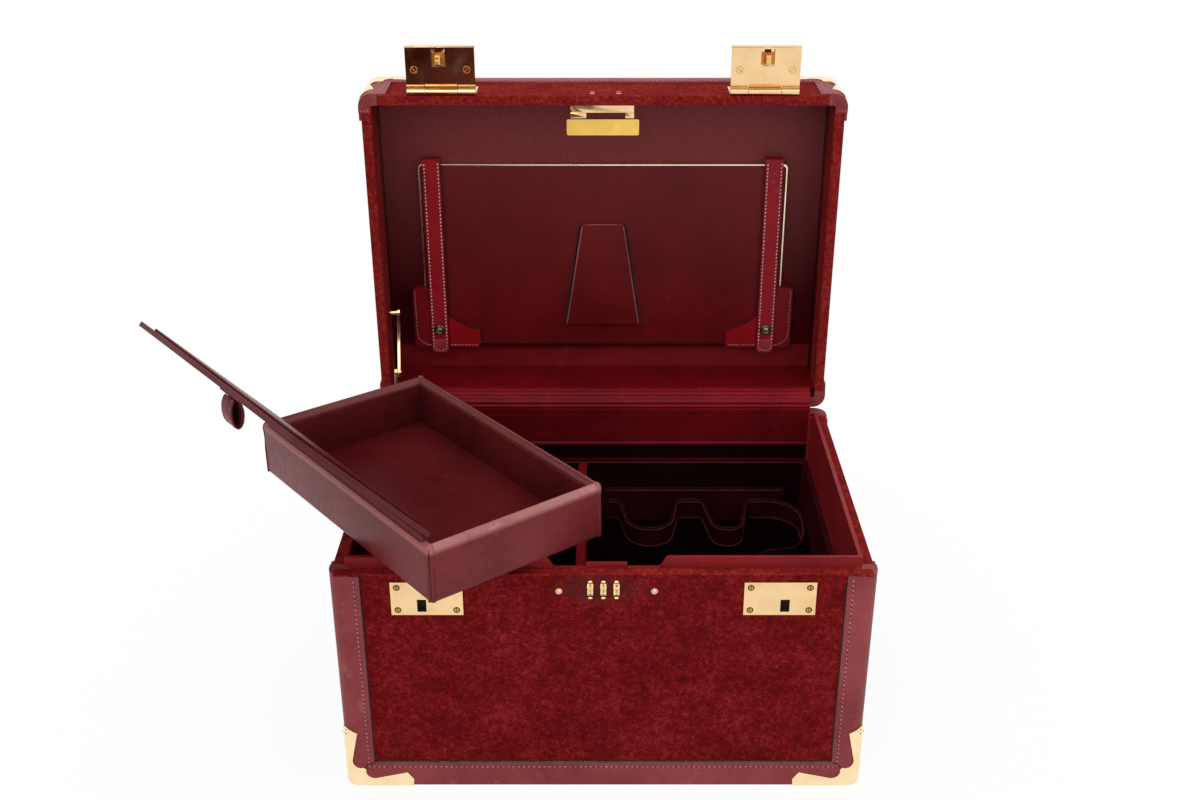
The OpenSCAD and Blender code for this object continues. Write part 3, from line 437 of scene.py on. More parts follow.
class Finish:
    """A material that is made once and then shared."""

    name: str
    made: Dict[str, bpy.types.Material] = {}
    groups: Dict[str, bpy.types.NodeTree] = {}

    def material(self) -> bpy.types.Material:
        """Makes the material at its first use.

        Returns:
            The finish's material.
        """
        if self.name not in Finish.made:
            material = bpy.data.materials.new(self.name)
            material.use_nodes = True
            nodes = Nodes(material.node_tree)
            shader = nodes.add("BsdfPrincipled")
            out = nodes.add("OutputMaterial")
            nodes.feed(out.inputs["Surface"], shader.outputs["BSDF"])
            self.paint(nodes, shader)
            Finish.made[self.name] = material
        return Finish.made[self.name]

    def paint(self, nodes: Nodes, shader: bpy.types.Node) -> None:
        """Wires the finish's own nodes."""
        raise NotImplementedError

    @staticmethod
    def group(nodes: Nodes, make: Callable[[], bpy.types.NodeTree],
              **values: object) -> bpy.types.Node:
        """Places a shared group and gives it object coordinates.

        Args:
            nodes: The material's builder.
            make: The function that makes the group at its first use.
            **values: The group's input values.

        Returns:
            The group's node.
        """
        if make.__name__ not in Finish.groups:
            Finish.groups[make.__name__] = make()
        node = nodes.tree.nodes.new("ShaderNodeGroup")
        node.node_tree = Finish.groups[make.__name__]
        coordinates = nodes.add("TexCoord").outputs["Object"]
        for key, value in {"Vector": coordinates, **values}.items():
            nodes.feed(node.inputs[key], value)
        return node

    @staticmethod
    def relief(nodes: Nodes, shader: bpy.types.Node, height: bpy.types.NodeSocket,
               strength: float, distance: float) -> None:
        """Bumps the surface by a height over a distance in millimetres."""
        bump = nodes.add("Bump", Height=height, Strength=strength, Distance=distance * MM)
        nodes.feed(shader.inputs["Normal"], bump.outputs["Normal"])


@dataclass(frozen=True)
class Leather(Finish):
    """Dyed and polished leather."""

    name: str
    colour: str
    shade: str
    # The pale colour serves both the scuffs and the painted light.
    scuff_and_light: str = "#9a5a5c"
    scuffs: float = 0.25
    grain: float = 900.0
    cross: float = 0.0
    rough: float = 0.42
    relief_mm: float = 0.12
    gloss: float = 0.12
    # Level and reach in millimetres, and strength, of painted light that turns the colour pale
    # towards the top.
    painted_light: Point = (0.0, 1.0, 0.0)

    def paint(self, nodes: Nodes, shader: bpy.types.Node) -> None:
        """Grain, mottling, scuffs and painted light towards the top.

        Args:
            nodes: The material's builder.
            shader: The material's shader node.
        """
        g = self.group(nodes, grain_group, Grain=self.grain, Cross=self.cross,
                       Colour=linear(self.colour), Shade=linear(self.shade),
                       Scuff=linear(self.scuff_and_light), Scuffs=self.scuffs, Rough=self.rough,
                       Level=self.painted_light[0] * MM, Reach=self.painted_light[1] * MM,
                       Wear=self.painted_light[2])
        nodes.feed(shader.inputs["Base Color"], g.outputs["Color"])
        nodes.feed(shader.inputs["Roughness"], g.outputs["Roughness"])
        shader.inputs["Specular IOR Level"].default_value = self.gloss
        self.relief(nodes, shader, g.outputs["Height"], 0.5, self.relief_mm)


@dataclass(frozen=True)
class Suede(Finish):
    """Napped suede."""

    name: str
    deep: str
    colour: str
    bright: str
    nap: float = 900.0
    halo: Optional[Tuple[Point, Point]] = None

    def paint(self, nodes: Nodes, shader: bpy.types.Node) -> None:
        """Brushed patches with a soft sheen.

        Args:
            nodes: The material's builder.
            shader: The material's shader node.
        """
        g = self.group(nodes, nap_group, Nap=self.nap, Deep=linear(self.deep),
                       Colour=linear(self.colour), Bright=linear(self.bright))
        colour = g.outputs["Color"]
        if self.halo:
            centre, reach = self.halo
            place = nodes.add("TexCoord").outputs["Object"]
            about = nodes.add("VectorMath", operation="SUBTRACT", Vector=place)
            about.inputs[1].default_value = at(*centre)
            size = nodes.add("VectorMath", operation="DIVIDE", Vector=about.outputs["Vector"])
            size.inputs[1].default_value = at(*reach)
            far = nodes.add("VectorMath", operation="LENGTH", Vector=size.outputs["Vector"])
            far = nodes.math("ADD", far.outputs["Value"],
                             nodes.ramp(nodes.noise(place, 160.0, 5.0, 0.7), 0.2, 0.8, -0.5, 0.5))
            rub = nodes.ramp(far, 0.35, 1.25, 0.7, 0.0)
            colour = nodes.mix(rub, colour, linear("#4a2220"))
        nodes.feed(shader.inputs["Base Color"], colour)
        shader.inputs["Roughness"].default_value = 0.95
        shader.inputs["Specular IOR Level"].default_value = 0.05
        shader.inputs["Sheen Weight"].default_value = 0.03
        shader.inputs["Sheen Roughness"].default_value = 0.5
        shader.inputs["Sheen Tint"].default_value = (*linear("#d06050"), 1.0)
        self.relief(nodes, shader, g.outputs["Height"], 0.7, 0.5)


@dataclass(frozen=True)
class Metal(Finish):
    """Plated brass."""

    name: str
    colour: str
    tarnish: str
    rough: float = 0.16
    brush: float = 0.0

    def paint(self, nodes: Nodes, shader: bpy.types.Node) -> None:
        """Smudged polish, with brushed lines where asked.

        Args:
            nodes: The material's builder.
            shader: The material's shader node.
        """
        g = self.group(nodes, patina_group, Colour=linear(self.colour),
                       Tarnish=linear(self.tarnish), Rough=self.rough, Brush=self.brush)
        nodes.feed(shader.inputs["Base Color"], g.outputs["Color"])
        nodes.feed(shader.inputs["Roughness"], g.outputs["Roughness"])
        shader.inputs["Metallic"].default_value = 1.0
        self.relief(nodes, shader, g.outputs["Height"], 0.3, 0.05)


@dataclass(frozen=True)
class Mottled(Finish):
    """Thread, paint or board: one colour with a light mottle."""

    name: str
    colour: str
    other: str
    rough: float = 0.7
    scale: float = 300.0

    def paint(self, nodes: Nodes, shader: bpy.types.Node) -> None:
        """Two tones mixed by noise, with a faint relief.

        Args:
            nodes: The material's builder.
            shader: The material's shader node.
        """
        noise = nodes.noise(nodes.add("TexCoord").outputs["Object"], self.scale, 3.0)
        colour = nodes.mix(nodes.ramp(noise, 0.35, 0.65), linear(self.colour),
                           linear(self.other))
        nodes.feed(shader.inputs["Base Color"], colour)
        shader.inputs["Roughness"].default_value = self.rough
        self.relief(nodes, shader, noise, 0.3, 0.1)


@dataclass(frozen=True)
class Silvered(Finish):
    """A mirror."""

    name: str

    def paint(self, nodes: Nodes, shader: bpy.types.Node) -> None:
        """Silver behind glass, with a trace of dust.

        Args:
            nodes: The material's builder.
            shader: The material's shader node.
        """
        noise = nodes.noise(nodes.add("TexCoord").outputs["Object"], 90.0, 5.0)
        nodes.feed(shader.inputs["Roughness"], nodes.ramp(noise, 0.5, 0.8, 0.02, 0.1))
        shader.inputs["Base Color"].default_value = (*linear("#d6dee0"), 1.0)
        shader.inputs["Metallic"].default_value = 1.0


HIDE = Leather("case_hide", "#974447", "#772e32", "#be8082", scuffs=0.3, grain=850.0, cross=0.9,
               relief_mm=0.2)
TRAY_HIDE = Leather("tray_hide", "#7a3233", "#622627", "#a0686a", scuffs=0.2, grain=620.0,
                    rough=0.34, relief_mm=0.1)
# Painted highlight: the tray's rail tops turn pale above 197.2 mm.
TRAY_RAILS = replace(TRAY_HIDE, name="rubbed_tray_hide", colour="#7c2e31", shade="#642325",
                     scuff_and_light="#c07c7a", gloss=0.14, painted_light=(197.2, 2.4, 0.62))
# A pale strip of painted highlight along the near rail's top.
RAIL_SHINE = Leather("rubbed_rail_hide", "#b47a76", "#8c5452", "#d8a8a2", scuffs=0.6,
                     grain=1500.0, cross=0.4, rough=0.4, relief_mm=0.14, gloss=0.2)
LID_HIDE = replace(TRAY_HIDE, name="tray_lid_hide", colour="#662a2c", shade="#522023",
                   scuff_and_light="#8c5a5c")
LINING = Leather("lining_hide", "#420f14", "#2e080b", "#6a3234", scuffs=0.2, grain=700.0,
                 rough=0.34, relief_mm=0.08)
TRAY_WALLS = replace(LINING, name="tray_wall_hide", colour="#6a2224", shade="#521518",
                     scuff_and_light="#7a3c3c", gloss=0.05)
# Painted shade: near-black sheets over the base's back walls where the pad overhangs.
PAINTED_SHADE = replace(LINING, name="deep_hide", colour="#1e0507", shade="#120304", scuff_and_light="#301012",
               rough=0.5, gloss=0.05)
# Painted shade: the lid's side walls darker than the lining, with painted light paler towards the
# top.
SHADED = replace(LINING, name="lid_wall_hide", colour="#38080c", shade="#280508", scuff_and_light="#743c3e",
                 rough=0.4, gloss=0.05, painted_light=(215.0, 170.0, 0.5))
BACK_WALL = Leather("lid_back_wall_hide", "#720b14", "#5a070e", "#8c3036", scuffs=0.2, cross=0.9,
                    rough=0.4, relief_mm=0.14, gloss=0.1)
PAD_HIDE = Leather("pad_hide", "#6a0913", "#4e040c", "#8c3036", scuffs=0.2, cross=0.7, rough=0.4,
                   relief_mm=0.14)
LEDGE = Leather("lid_ledge_hide", "#80191e", "#621016", "#a0484c", scuffs=0.2, cross=0.9,
                rough=0.4, relief_mm=0.16, gloss=0.1)
TRAY_LINING = replace(LINING, name="tray_lining_hide", colour="#601a1d", shade="#4a0f13",
                      scuff_and_light="#7a3c3c", gloss=0.05)
# Painted light: the lid's lining turns pale towards the top of the open lid.
LID_LINING = replace(LINING, name="lid_lining_hide", colour="#4c070c", shade="#3c0508",
                     scuff_and_light="#924648", scuffs=0.18, relief_mm=0.1, gloss=0.06,
                     painted_light=(232.0, 150.0, 0.9))
# Painted light: the mirror's back and the strut turn slightly pale towards the top.
BACK_HIDE = replace(LINING, name="mirror_back_hide", colour="#6c1417", shade="#560e11",
                    scuff_and_light="#845050", scuffs=0.18, relief_mm=0.1, gloss=0.06,
                    painted_light=(215.0, 165.0, 0.24))
# Pale piping whose pale tone is partly a painted highlight on the strut's edges.
PIPING = Leather("piping_hide", "#a86062", "#7c3436", "#c89a94", scuffs=0.4, cross=0.3,
                 rough=0.38, relief_mm=0.1, gloss=0.2)
LOOPS = replace(LINING, name="loop_hide", colour="#3a0e11", shade="#260709", scuff_and_light="#5a2a2a",
                rough=0.36, gloss=0.08)
# A brighter copy of the pad's hide: the roll's highlight painted into its colour.
ROLL = Leather("roll_hide", "#860f1b", "#60060f", "#a85056", scuffs=0.2, cross=0.7, rough=0.4,
               relief_mm=0.14)
LIP = Leather("lip_hide", "#922426", "#74161b", "#b86466", cross=0.6, relief_mm=0.14)
RED = Leather("red_hide", "#7c121c", "#620a14", "#9a3c44", scuffs=0.18, grain=800.0, cross=0.6,
              rough=0.4)
CRIMSON = Leather("crimson_hide", "#9c101c", "#7c0812", "#b03c44", scuffs=0.15, grain=800.0,
                  cross=0.3, rough=0.38, relief_mm=0.1)
STRAP_HIDE = Leather("strap_hide", "#9c1a27", "#80111d", "#c88a8e", scuffs=0.3, grain=800.0,
                     cross=0.4, rough=0.4, gloss=0.14)
STRAP_TIP = Leather("strap_tip", "#a2464c", "#7c1c26", "#d69a9a", scuffs=1.0, grain=1500.0,
                    cross=0.3, rough=0.5, relief_mm=0.3, gloss=0.1)
SUEDE = Suede("front_suede", "#40080b", "#690d10", "#962a2a",
              halo=((0.0, -115.4, 147.3), (27.0, 40.0, 10.5)))
RIM_SUEDE = Suede("rim_suede", "#500c0d", "#7c1a19", "#a03a34")
GOLD = Metal("gold_plate", "#f6d29e", "#d6a466", rough=0.12)
GUARD = Metal("guard_plate", "#ffe6b8", "#e8b878", rough=0.14)
# A pinker, glossier copy of the gold for the left hasp's plate, tuned to its dark painted
# reflection.
LEFT_REFLECTION_GOLD = Metal("dusky_gold", "#ffd0aa", "#c48a60", rough=0.06)
ROLLED = Metal("rolled_gold", "#d89a4c", "#8c5626", rough=0.24)
AMBER = Metal("shaded_gold", "#c07c34", "#6e3c14", rough=0.28)
ROSE = Metal("rose_gold", "#ffc8a0", "#c88a68", rough=0.2)
SATIN = Metal("satin_gold", "#ffd26c", "#f8c05c", rough=0.2, brush=1.0)
NOSE = Metal("hook_nose", "#f0bc74", "#b07834", rough=0.25)
SILVERY = Metal("mirror_edge", "#f2e2c4", "#a8885c", rough=0.2)
RIVET = Metal("rubbed_rivet", "#a04c40", "#702620", rough=0.34)
SNAP = Metal("aged_snap", "#4c5c48", "#1a2420")
SNAP_CORE = Metal("worn_snap", "#b08a6c", "#6a4a38", rough=0.4)
SCREW = Metal("screw_gold", "#c89c54", "#6a4a20", rough=0.3)
# Painted shade: dark brown brass for the recess round the lock's wheels and the hook's slot.
SHADED_BRASS = Metal("wheel_seat", "#5c2a18", "#2c0e0a", rough=0.45)
THREAD = Mottled("pink_thread", "#d4848e", "#ac606c", rough=0.75)
BRIGHT_THREAD = Mottled("strap_thread", "#ffc8c8", "#e89ca0")
DULL_THREAD = Mottled("loop_thread", "#8c2a30", "#64181c", rough=0.75)
INK = Mottled("numeral_ink", "#2a1408", "#3a2010", rough=0.6)
GROOVE = Mottled("dark_groove", "#5a3c14", "#3a240c", rough=0.6)
# The line under the stitches: a pressed line darkened as painted shade to set the threads off.
SEAM = Mottled("seam_bed", "#6e2a30", "#541c22", rough=0.8)
EDGE = Mottled("cut_edge", "#7c5048", "#5a3430")
# Painted shadow: dark strips and cords set into gaps, grooves and seams.
SHADOW = Mottled("dark_gap", "#160607", "#1e0a0b", rough=0.9)
BOARD = Mottled("raw_board", "#3a1c14", "#28100c", rough=0.85, scale=120.0)
MIRROR = Silvered("mirror_silver")


class Shape:
    """A mesh in the making, drawn in millimetres in a local frame."""

    def __init__(self, place: Optional[Matrix] = None) -> None:
        """Starts an empty mesh that place later carries into the row frame."""
        self.mesh = bmesh.new()
        self.place = place or Matrix.Identity(4)

    def box(self, low: Point, high: Point) -> List[bmesh.types.BMVert]:
        """Adds a box.

        Args:
            low: One corner.
            high: The opposite corner, on any side of the first.

        Returns:
            The box's vertices.
        """
        size = [abs(high[i] - low[i]) for i in range(3)]
        middle = [(high[i] + low[i]) / 2 for i in range(3)]
        matrix = shift(*middle) @ Matrix.Diagonal((*(s * MM for s in size), 1.0))
        return bmesh.ops.create_cube(self.mesh, size=1.0, matrix=matrix)["verts"]

    def slab(self, size: Point, centre: Point, radius: float,
             segments: int = 6) -> List[bmesh.types.BMVert]:
        """A box whose upright edges are rounded.

        Args:
            size: Width, depth and height.
            centre: The middle.
            radius: The upright edges' radius.
            segments: Facets of each rounding.

        Returns:
            The slab's vertices.
        """
        low = tuple(centre[i] - size[i] / 2 for i in range(3))
        high = tuple(centre[i] + size[i] / 2 for i in range(3))
        verts = self.box(low, high)
        edges = {e for v in verts for e in v.link_edges
                 if abs(e.verts[0].co.z - e.verts[1].co.z) > MM * 0.01}
        made = bmesh.ops.bevel(self.mesh, geom=list(edges), offset=radius * MM,
                               segments=segments, profile=0.5, affect="EDGES", material=-1)
        return list({*made["verts"], *(v for v in verts if v.is_valid)})

    def hollow(self, verts: List[bmesh.types.BMVert], wall: float, depth: float) -> None:
        """Sinks a well into a slab's top.

        Args:
            verts: The slab's vertices.
            wall: The wall that is left.
            depth: The well's depth.
        """
        self.mesh.normal_update()
        top = max(v.co.z for v in verts)
        face = next(f for f in self.mesh.faces
                    if f.normal.z > 0.9 and abs(f.calc_center_median().z - top) < 0.01 * MM)
        bmesh.ops.inset_region(self.mesh, faces=[face], thickness=wall * MM,
                               use_even_offset=True)
        made = bmesh.ops.extrude_face_region(self.mesh, geom=[face])["geom"]
        floor = next(g for g in made if isinstance(g, bmesh.types.BMFace))
        bmesh.ops.translate(self.mesh, vec=(0, 0, -depth * MM), verts=list(floor.verts))
        if face.is_valid:
            bmesh.ops.delete(self.mesh, geom=[face], context="FACES_ONLY")

    def rod(self, radius: float, start: Point, end: Point, segments: int = 24,
            end_radius: Optional[float] = None) -> None:
        """A round bar or cone between two points.

        Args:
            radius: The radius at the start.
            start: The middle of the first end.
            end: The middle of the other end.
            segments: Facets round the bar.
            end_radius: The radius at the other end, where it differs.
        """
        a, b = at(*start), at(*end)
        axis = b - a
        matrix = Matrix.Translation((a + b) / 2) @ axis.to_track_quat("Z", "Y").to_matrix().to_4x4()
        top = radius if end_radius is None else end_radius
        bmesh.ops.create_cone(self.mesh, cap_ends=True, segments=segments, radius1=radius * MM,
                              radius2=top * MM, depth=axis.length, matrix=matrix)

    def ball(self, centre: Point, size: Point, axis: Optional[Vector] = None,
             fine: int = 2) -> None:
        """An egg.

        Args:
            centre: The middle.
            size: The three half-sizes.
            axis: The direction of its own X, if turned.
            fine: The level of detail.
        """
        matrix = Matrix.Translation(at(*centre))
        if axis is not None:
            matrix = matrix @ axis.to_track_quat("X", "Z").to_matrix().to_4x4()
        matrix = matrix @ Matrix.Diagonal((*(s * MM for s in size), 1.0))
        bmesh.ops.create_icosphere(self.mesh, subdivisions=fine, radius=1.0, matrix=matrix)

    def ring(self, centre: Point, axis: Vector, radius: float, tube: float,
             steps: int = 24, sides: int = 8) -> None:
        """A round ring about an axis.

        Args:
            centre: The middle.
            axis: The ring's axis.
            radius: To the middle of the tube.
            tube: The tube's radius.
            steps: Facets round the ring.
            sides: Facets round the tube.
        """
        made = bmesh.ops.create_circle(self.mesh, segments=sides, radius=tube * MM,
                                       matrix=shift(radius, 0, 0) @ turn(90.0, "X"))["verts"]
        edges = list({e for v in made for e in v.link_edges})
        geom = bmesh.ops.spin(self.mesh, geom=made + edges, cent=(0, 0, 0), axis=(0, 0, 1),
                              dvec=(0, 0, 0), angle=math.radians(360), steps=steps,
                              use_merge=True, use_duplicate=False)
        verts = {v for g in geom["geom_last"] for v in
                 ([g] if isinstance(g, bmesh.types.BMVert) else g.verts)} | set(made)
        grown = {v for v in verts if v.is_valid}
        edge = set(grown)
        while edge:
            edge = {o.other_vert(v) for v in edge for o in v.link_edges} - grown
            grown |= edge
        matrix = Matrix.Translation(at(*centre)) @ axis.to_track_quat("Z", "Y").to_matrix().to_4x4()
        bmesh.ops.transform(self.mesh, matrix=matrix, verts=list(grown))

    def tube(self, path: Sequence[Point], radius: float, sides: int = 8) -> None:
        """A round cord.

        Args:
            path: The points that it follows.
            radius: The cord's radius.
            sides: Facets round the cord.
        """
        outline = arc((0, 0), (radius, radius), [360 * k / sides for k in range(sides)])
        points = [Vector(q) for q in path]
        frames = []
        for k, point in enumerate(points):
            run = points[min(k + 1, len(points) - 1)] - points[max(k - 1, 0)]
            side = run.to_track_quat("Z", "Y").to_matrix().to_4x4()
            frames.append(Matrix.Translation(point * MM) @ side)
        self.sweep(outline, frames)

    def sweep(self, profile: Sequence[Pair], frames: Sequence[Matrix]) -> None:
        """Carries a closed outline through a row of frames.

        Args:
            profile: The outline in each frame's own X and Y, in millimetres.
            frames: Where the outline stands, from the first to the last.
        """
        verts = [self.mesh.verts.new(frames[0] @ at(x, y, 0)) for x, y in profile]
        face = self.mesh.faces.new(verts)
        for old, new in zip(frames, frames[1:]):
            made = bmesh.ops.extrude_face_region(self.mesh, geom=[face])["geom"]
            face = next(g for g in made if isinstance(g, bmesh.types.BMFace))
            bmesh.ops.transform(self.mesh, matrix=new @ old.inverted(), verts=list(face.verts))

    def carve(self, line: Sequence[Pair], up: Point) -> None:
        """Cuts away what lies on the near side of a curve seen along an axis.

        Each stretch of the curve cuts the shape by an upright plane, and only the side
        away from the origin of its turn is kept, so the curve has to bend one way.

        Args:
            line: Points of the curve, in millimetres.
            up: The axis that the planes stand along.
        """
        lines = list(zip(line, line[1:]))
        for a, b in lines:
            geom = self.mesh.verts[:] + self.mesh.edges[:] + self.mesh.faces[:]
            run = Vector((b[0] - a[0], b[1] - a[1], 0.0))
            bmesh.ops.bisect_plane(self.mesh, geom=geom, plane_co=at(a[0], a[1], 0.0),
                                   plane_no=run.cross(Vector(up)), dist=1e-7)
        middle = Vector((sum(q[0] for q in line), sum(q[1] for q in line), 0.0)) / len(line)
        chord = Vector((line[-1][0] - line[0][0], line[-1][1] - line[0][1], 0.0))
        out = chord.cross(Vector(up)).normalized()
        if out.dot(middle - Vector((*line[0], 0.0))) < 0:
            out = -out

        def inside(face: bmesh.types.BMFace) -> bool:
            """Tells whether a face's middle lies on the curve's hollow side.

            Args:
                face: The face.

            Returns:
                Whether it does.
            """
            q = face.calc_center_median() / MM
            near = min(lines, key=lambda ab: (Vector((*ab[0], 0)) + Vector((*ab[1], 0)) -
                                              2 * Vector((q.x, q.y, 0))).length)
            run = Vector((near[1][0] - near[0][0], near[1][1] - near[0][1], 0.0))
            side = run.cross(Vector(up)).normalized()
            if side.dot(out) < 0:
                side = -side
            return side.dot(Vector((q.x - near[0][0], q.y - near[0][1], 0.0))) < -1e-4

        drop = [f for f in self.mesh.faces if inside(f)]
        bmesh.ops.delete(self.mesh, geom=drop, context="FACES")
        rim = [e for e in self.mesh.edges if e.is_boundary]
        bmesh.ops.holes_fill(self.mesh, edges=rim)

    def join(self, other: "Shape", matrix: Matrix) -> None:
        """Takes in another shape and frees it.

        Args:
            other: The other shape.
            matrix: What carries it to its place.
        """
        bmesh.ops.recalc_face_normals(other.mesh, faces=other.mesh.faces)
        bmesh.ops.transform(other.mesh, matrix=matrix, verts=other.mesh.verts)
        data = bpy.data.meshes.new("part")
        other.mesh.to_mesh(data)
        other.mesh.free()
        self.mesh.from_mesh(data)
        bpy.data.meshes.remove(data)

    def round_edges(self, width: float, segments: int = 2, angle: float = 35.0,
                    keep: Optional[Callable[[bmesh.types.BMEdge], bool]] = None) -> None:
        """Bevels the edges that turn by more than an angle.

        Args:
            width: The bevel's width.
            segments: Its facets.
            angle: The least turn between two faces, in degrees.
            keep: A test that an edge has to pass, if any.
        """
        self.mesh.normal_update()
        edges = [e for e in self.mesh.edges if len(e.link_faces) == 2
                 and e.calc_face_angle(0.0) > math.radians(angle) and (keep is None or keep(e))]
        bmesh.ops.bevel(self.mesh, geom=edges, offset=width * MM, segments=segments,
                        profile=0.5, affect="EDGES", clamp_overlap=True, material=-1)

    def build(self, name: str, finish: Finish, body: Optional[Body], slot: Slot,
              replaces: Iterable[str] = (), sharp: float = 40.0) -> bpy.types.Object:
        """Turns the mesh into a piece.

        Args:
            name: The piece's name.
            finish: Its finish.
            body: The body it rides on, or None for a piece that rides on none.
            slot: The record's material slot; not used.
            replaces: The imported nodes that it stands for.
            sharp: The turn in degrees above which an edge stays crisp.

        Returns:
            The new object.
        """
        bmesh.ops.recalc_face_normals(self.mesh, faces=self.mesh.faces)
        bmesh.ops.transform(self.mesh, matrix=self.place, verts=self.mesh.verts)
        data = bpy.data.meshes.new(name)
        self.mesh.to_mesh(data)
        self.mesh.free()
        return finish_piece(data, name, finish, body, replaces, sharp)


def finish_piece(data: bpy.types.Mesh, name: str, finish: Finish, body: Optional[Body],
                 replaces: Iterable[str], sharp: float) -> bpy.types.Object:
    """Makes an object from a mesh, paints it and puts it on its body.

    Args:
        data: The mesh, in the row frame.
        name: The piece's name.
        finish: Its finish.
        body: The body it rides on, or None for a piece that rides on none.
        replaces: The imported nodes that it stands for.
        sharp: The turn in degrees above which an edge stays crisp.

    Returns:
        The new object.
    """
    data.shade_smooth()
    data.set_sharp_from_angle(angle=math.radians(sharp))
    piece = bpy.data.objects.new(name, data)
    bpy.context.scene.collection.objects.link(piece)
    data.materials.clear()
    data.materials.append(finish.material())
    if body is not None:
        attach(piece, body.value)
    nodes = list(replaces)
    if nodes:
        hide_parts(*nodes)
    log.info("%s: %d faces", name, len(data.polygons))
    return piece


def dress(node: str, finish: Finish, body: Body, width: float = 0.3,
          segments: int = 2, sharp: float = 40.0) -> bpy.types.Object:
    """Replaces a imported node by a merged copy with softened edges.

    Args:
        node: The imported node.
        finish: Its finish.
        body: Its body.
        width: The softened edges' width in millimetres.
        segments: Facets of each softened edge.
        sharp: The turn in degrees above which an edge is softened.

    Returns:
        The new object.
    """
    mesh = bmesh.new()
    mesh.from_mesh(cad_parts[node].data)
    bmesh.ops.remove_doubles(mesh, verts=mesh.verts, dist=0.004 * MM)
    bmesh.ops.dissolve_limit(mesh, angle_limit=math.radians(0.6), verts=mesh.verts,
                             edges=mesh.edges)
    data = bpy.data.meshes.new(node + "_finished")
    mesh.to_mesh(data)
    mesh.free()
    piece = finish_piece(data, node + "_finished", finish, body, [node], sharp)
    if width:
        modifier = piece.modifiers.new("edges", "BEVEL")
        modifier.width = width * MM
        modifier.segments = segments
        modifier.limit_method = "ANGLE"
        modifier.angle_limit = math.radians(sharp)
        modifier.use_clamp_overlap = True
        modifier.harden_normals = True
    return piece


def repaint(node: str, finish: Finish) -> None:
    """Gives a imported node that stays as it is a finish.

    Args:
        node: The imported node.
        finish: Its finish.
    """
    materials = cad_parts[node].data.materials
    materials.clear()
    materials.append(finish.material())


class Stitching:
    """Rows of short sewn threads."""

    bed_share = 0.58
    bed_rise = 0.07

    def __init__(self, place: Optional[Matrix] = None, pitch: float = 3.3,
                 length: float = 2.3, thick: float = 0.9) -> None:
        """Starts with no thread."""
        self.shape, self.bed = Shape(place), Shape(place)
        self.pitch, self.length, self.thick = pitch, length, thick

    def row(self, path: Sequence[Point], normal: Point = (0, 0, 1),
            slant: float = 14.0) -> None:
        """Sews along a path.

        Args:
            path: The points that the row follows.
            normal: The way out of the leather.
            slant: The threads' turn out of the row, in degrees.
        """
        out = Vector(normal).normalized()
        tilt = Matrix.Rotation(math.radians(slant), 3, out)
        spots = [Vector(q) for q in path]
        carried = self.pitch / 2
        for start, end in zip(spots, spots[1:]):
            run = end - start
            reach = run.length
            if not reach:
                continue
            strip = Shape()
            wide = self.thick * self.bed_share
            strip.box((-reach / 2, -wide, -self.bed_rise), (reach / 2, wide, self.bed_rise))
            along = run.normalized()
            lie = Matrix((along, out.cross(along), out)).transposed().to_4x4()
            self.bed.join(strip, Matrix.Translation((start + end) / 2 * MM) @ lie)
            while carried < reach:
                self.shape.ball(tuple(start + run * (carried / reach)),
                                (self.length / 2, self.thick / 2, self.thick / 2),
                                tilt @ run.normalized(), 1)
                carried += self.pitch
            carried -= reach

    def build(self, name: str, body: Body, slot: Slot = Slot.LEATHER,
              finish: Finish = THREAD) -> bpy.types.Object:
        """Turns the threads and the dark line under them into pieces; the line is partly a pressed
        line and partly painted shade.
        """
        self.bed.build(name + "_line", SEAM, body, slot)
        return self.shape.build(name, finish, body, slot, sharp=180.0)


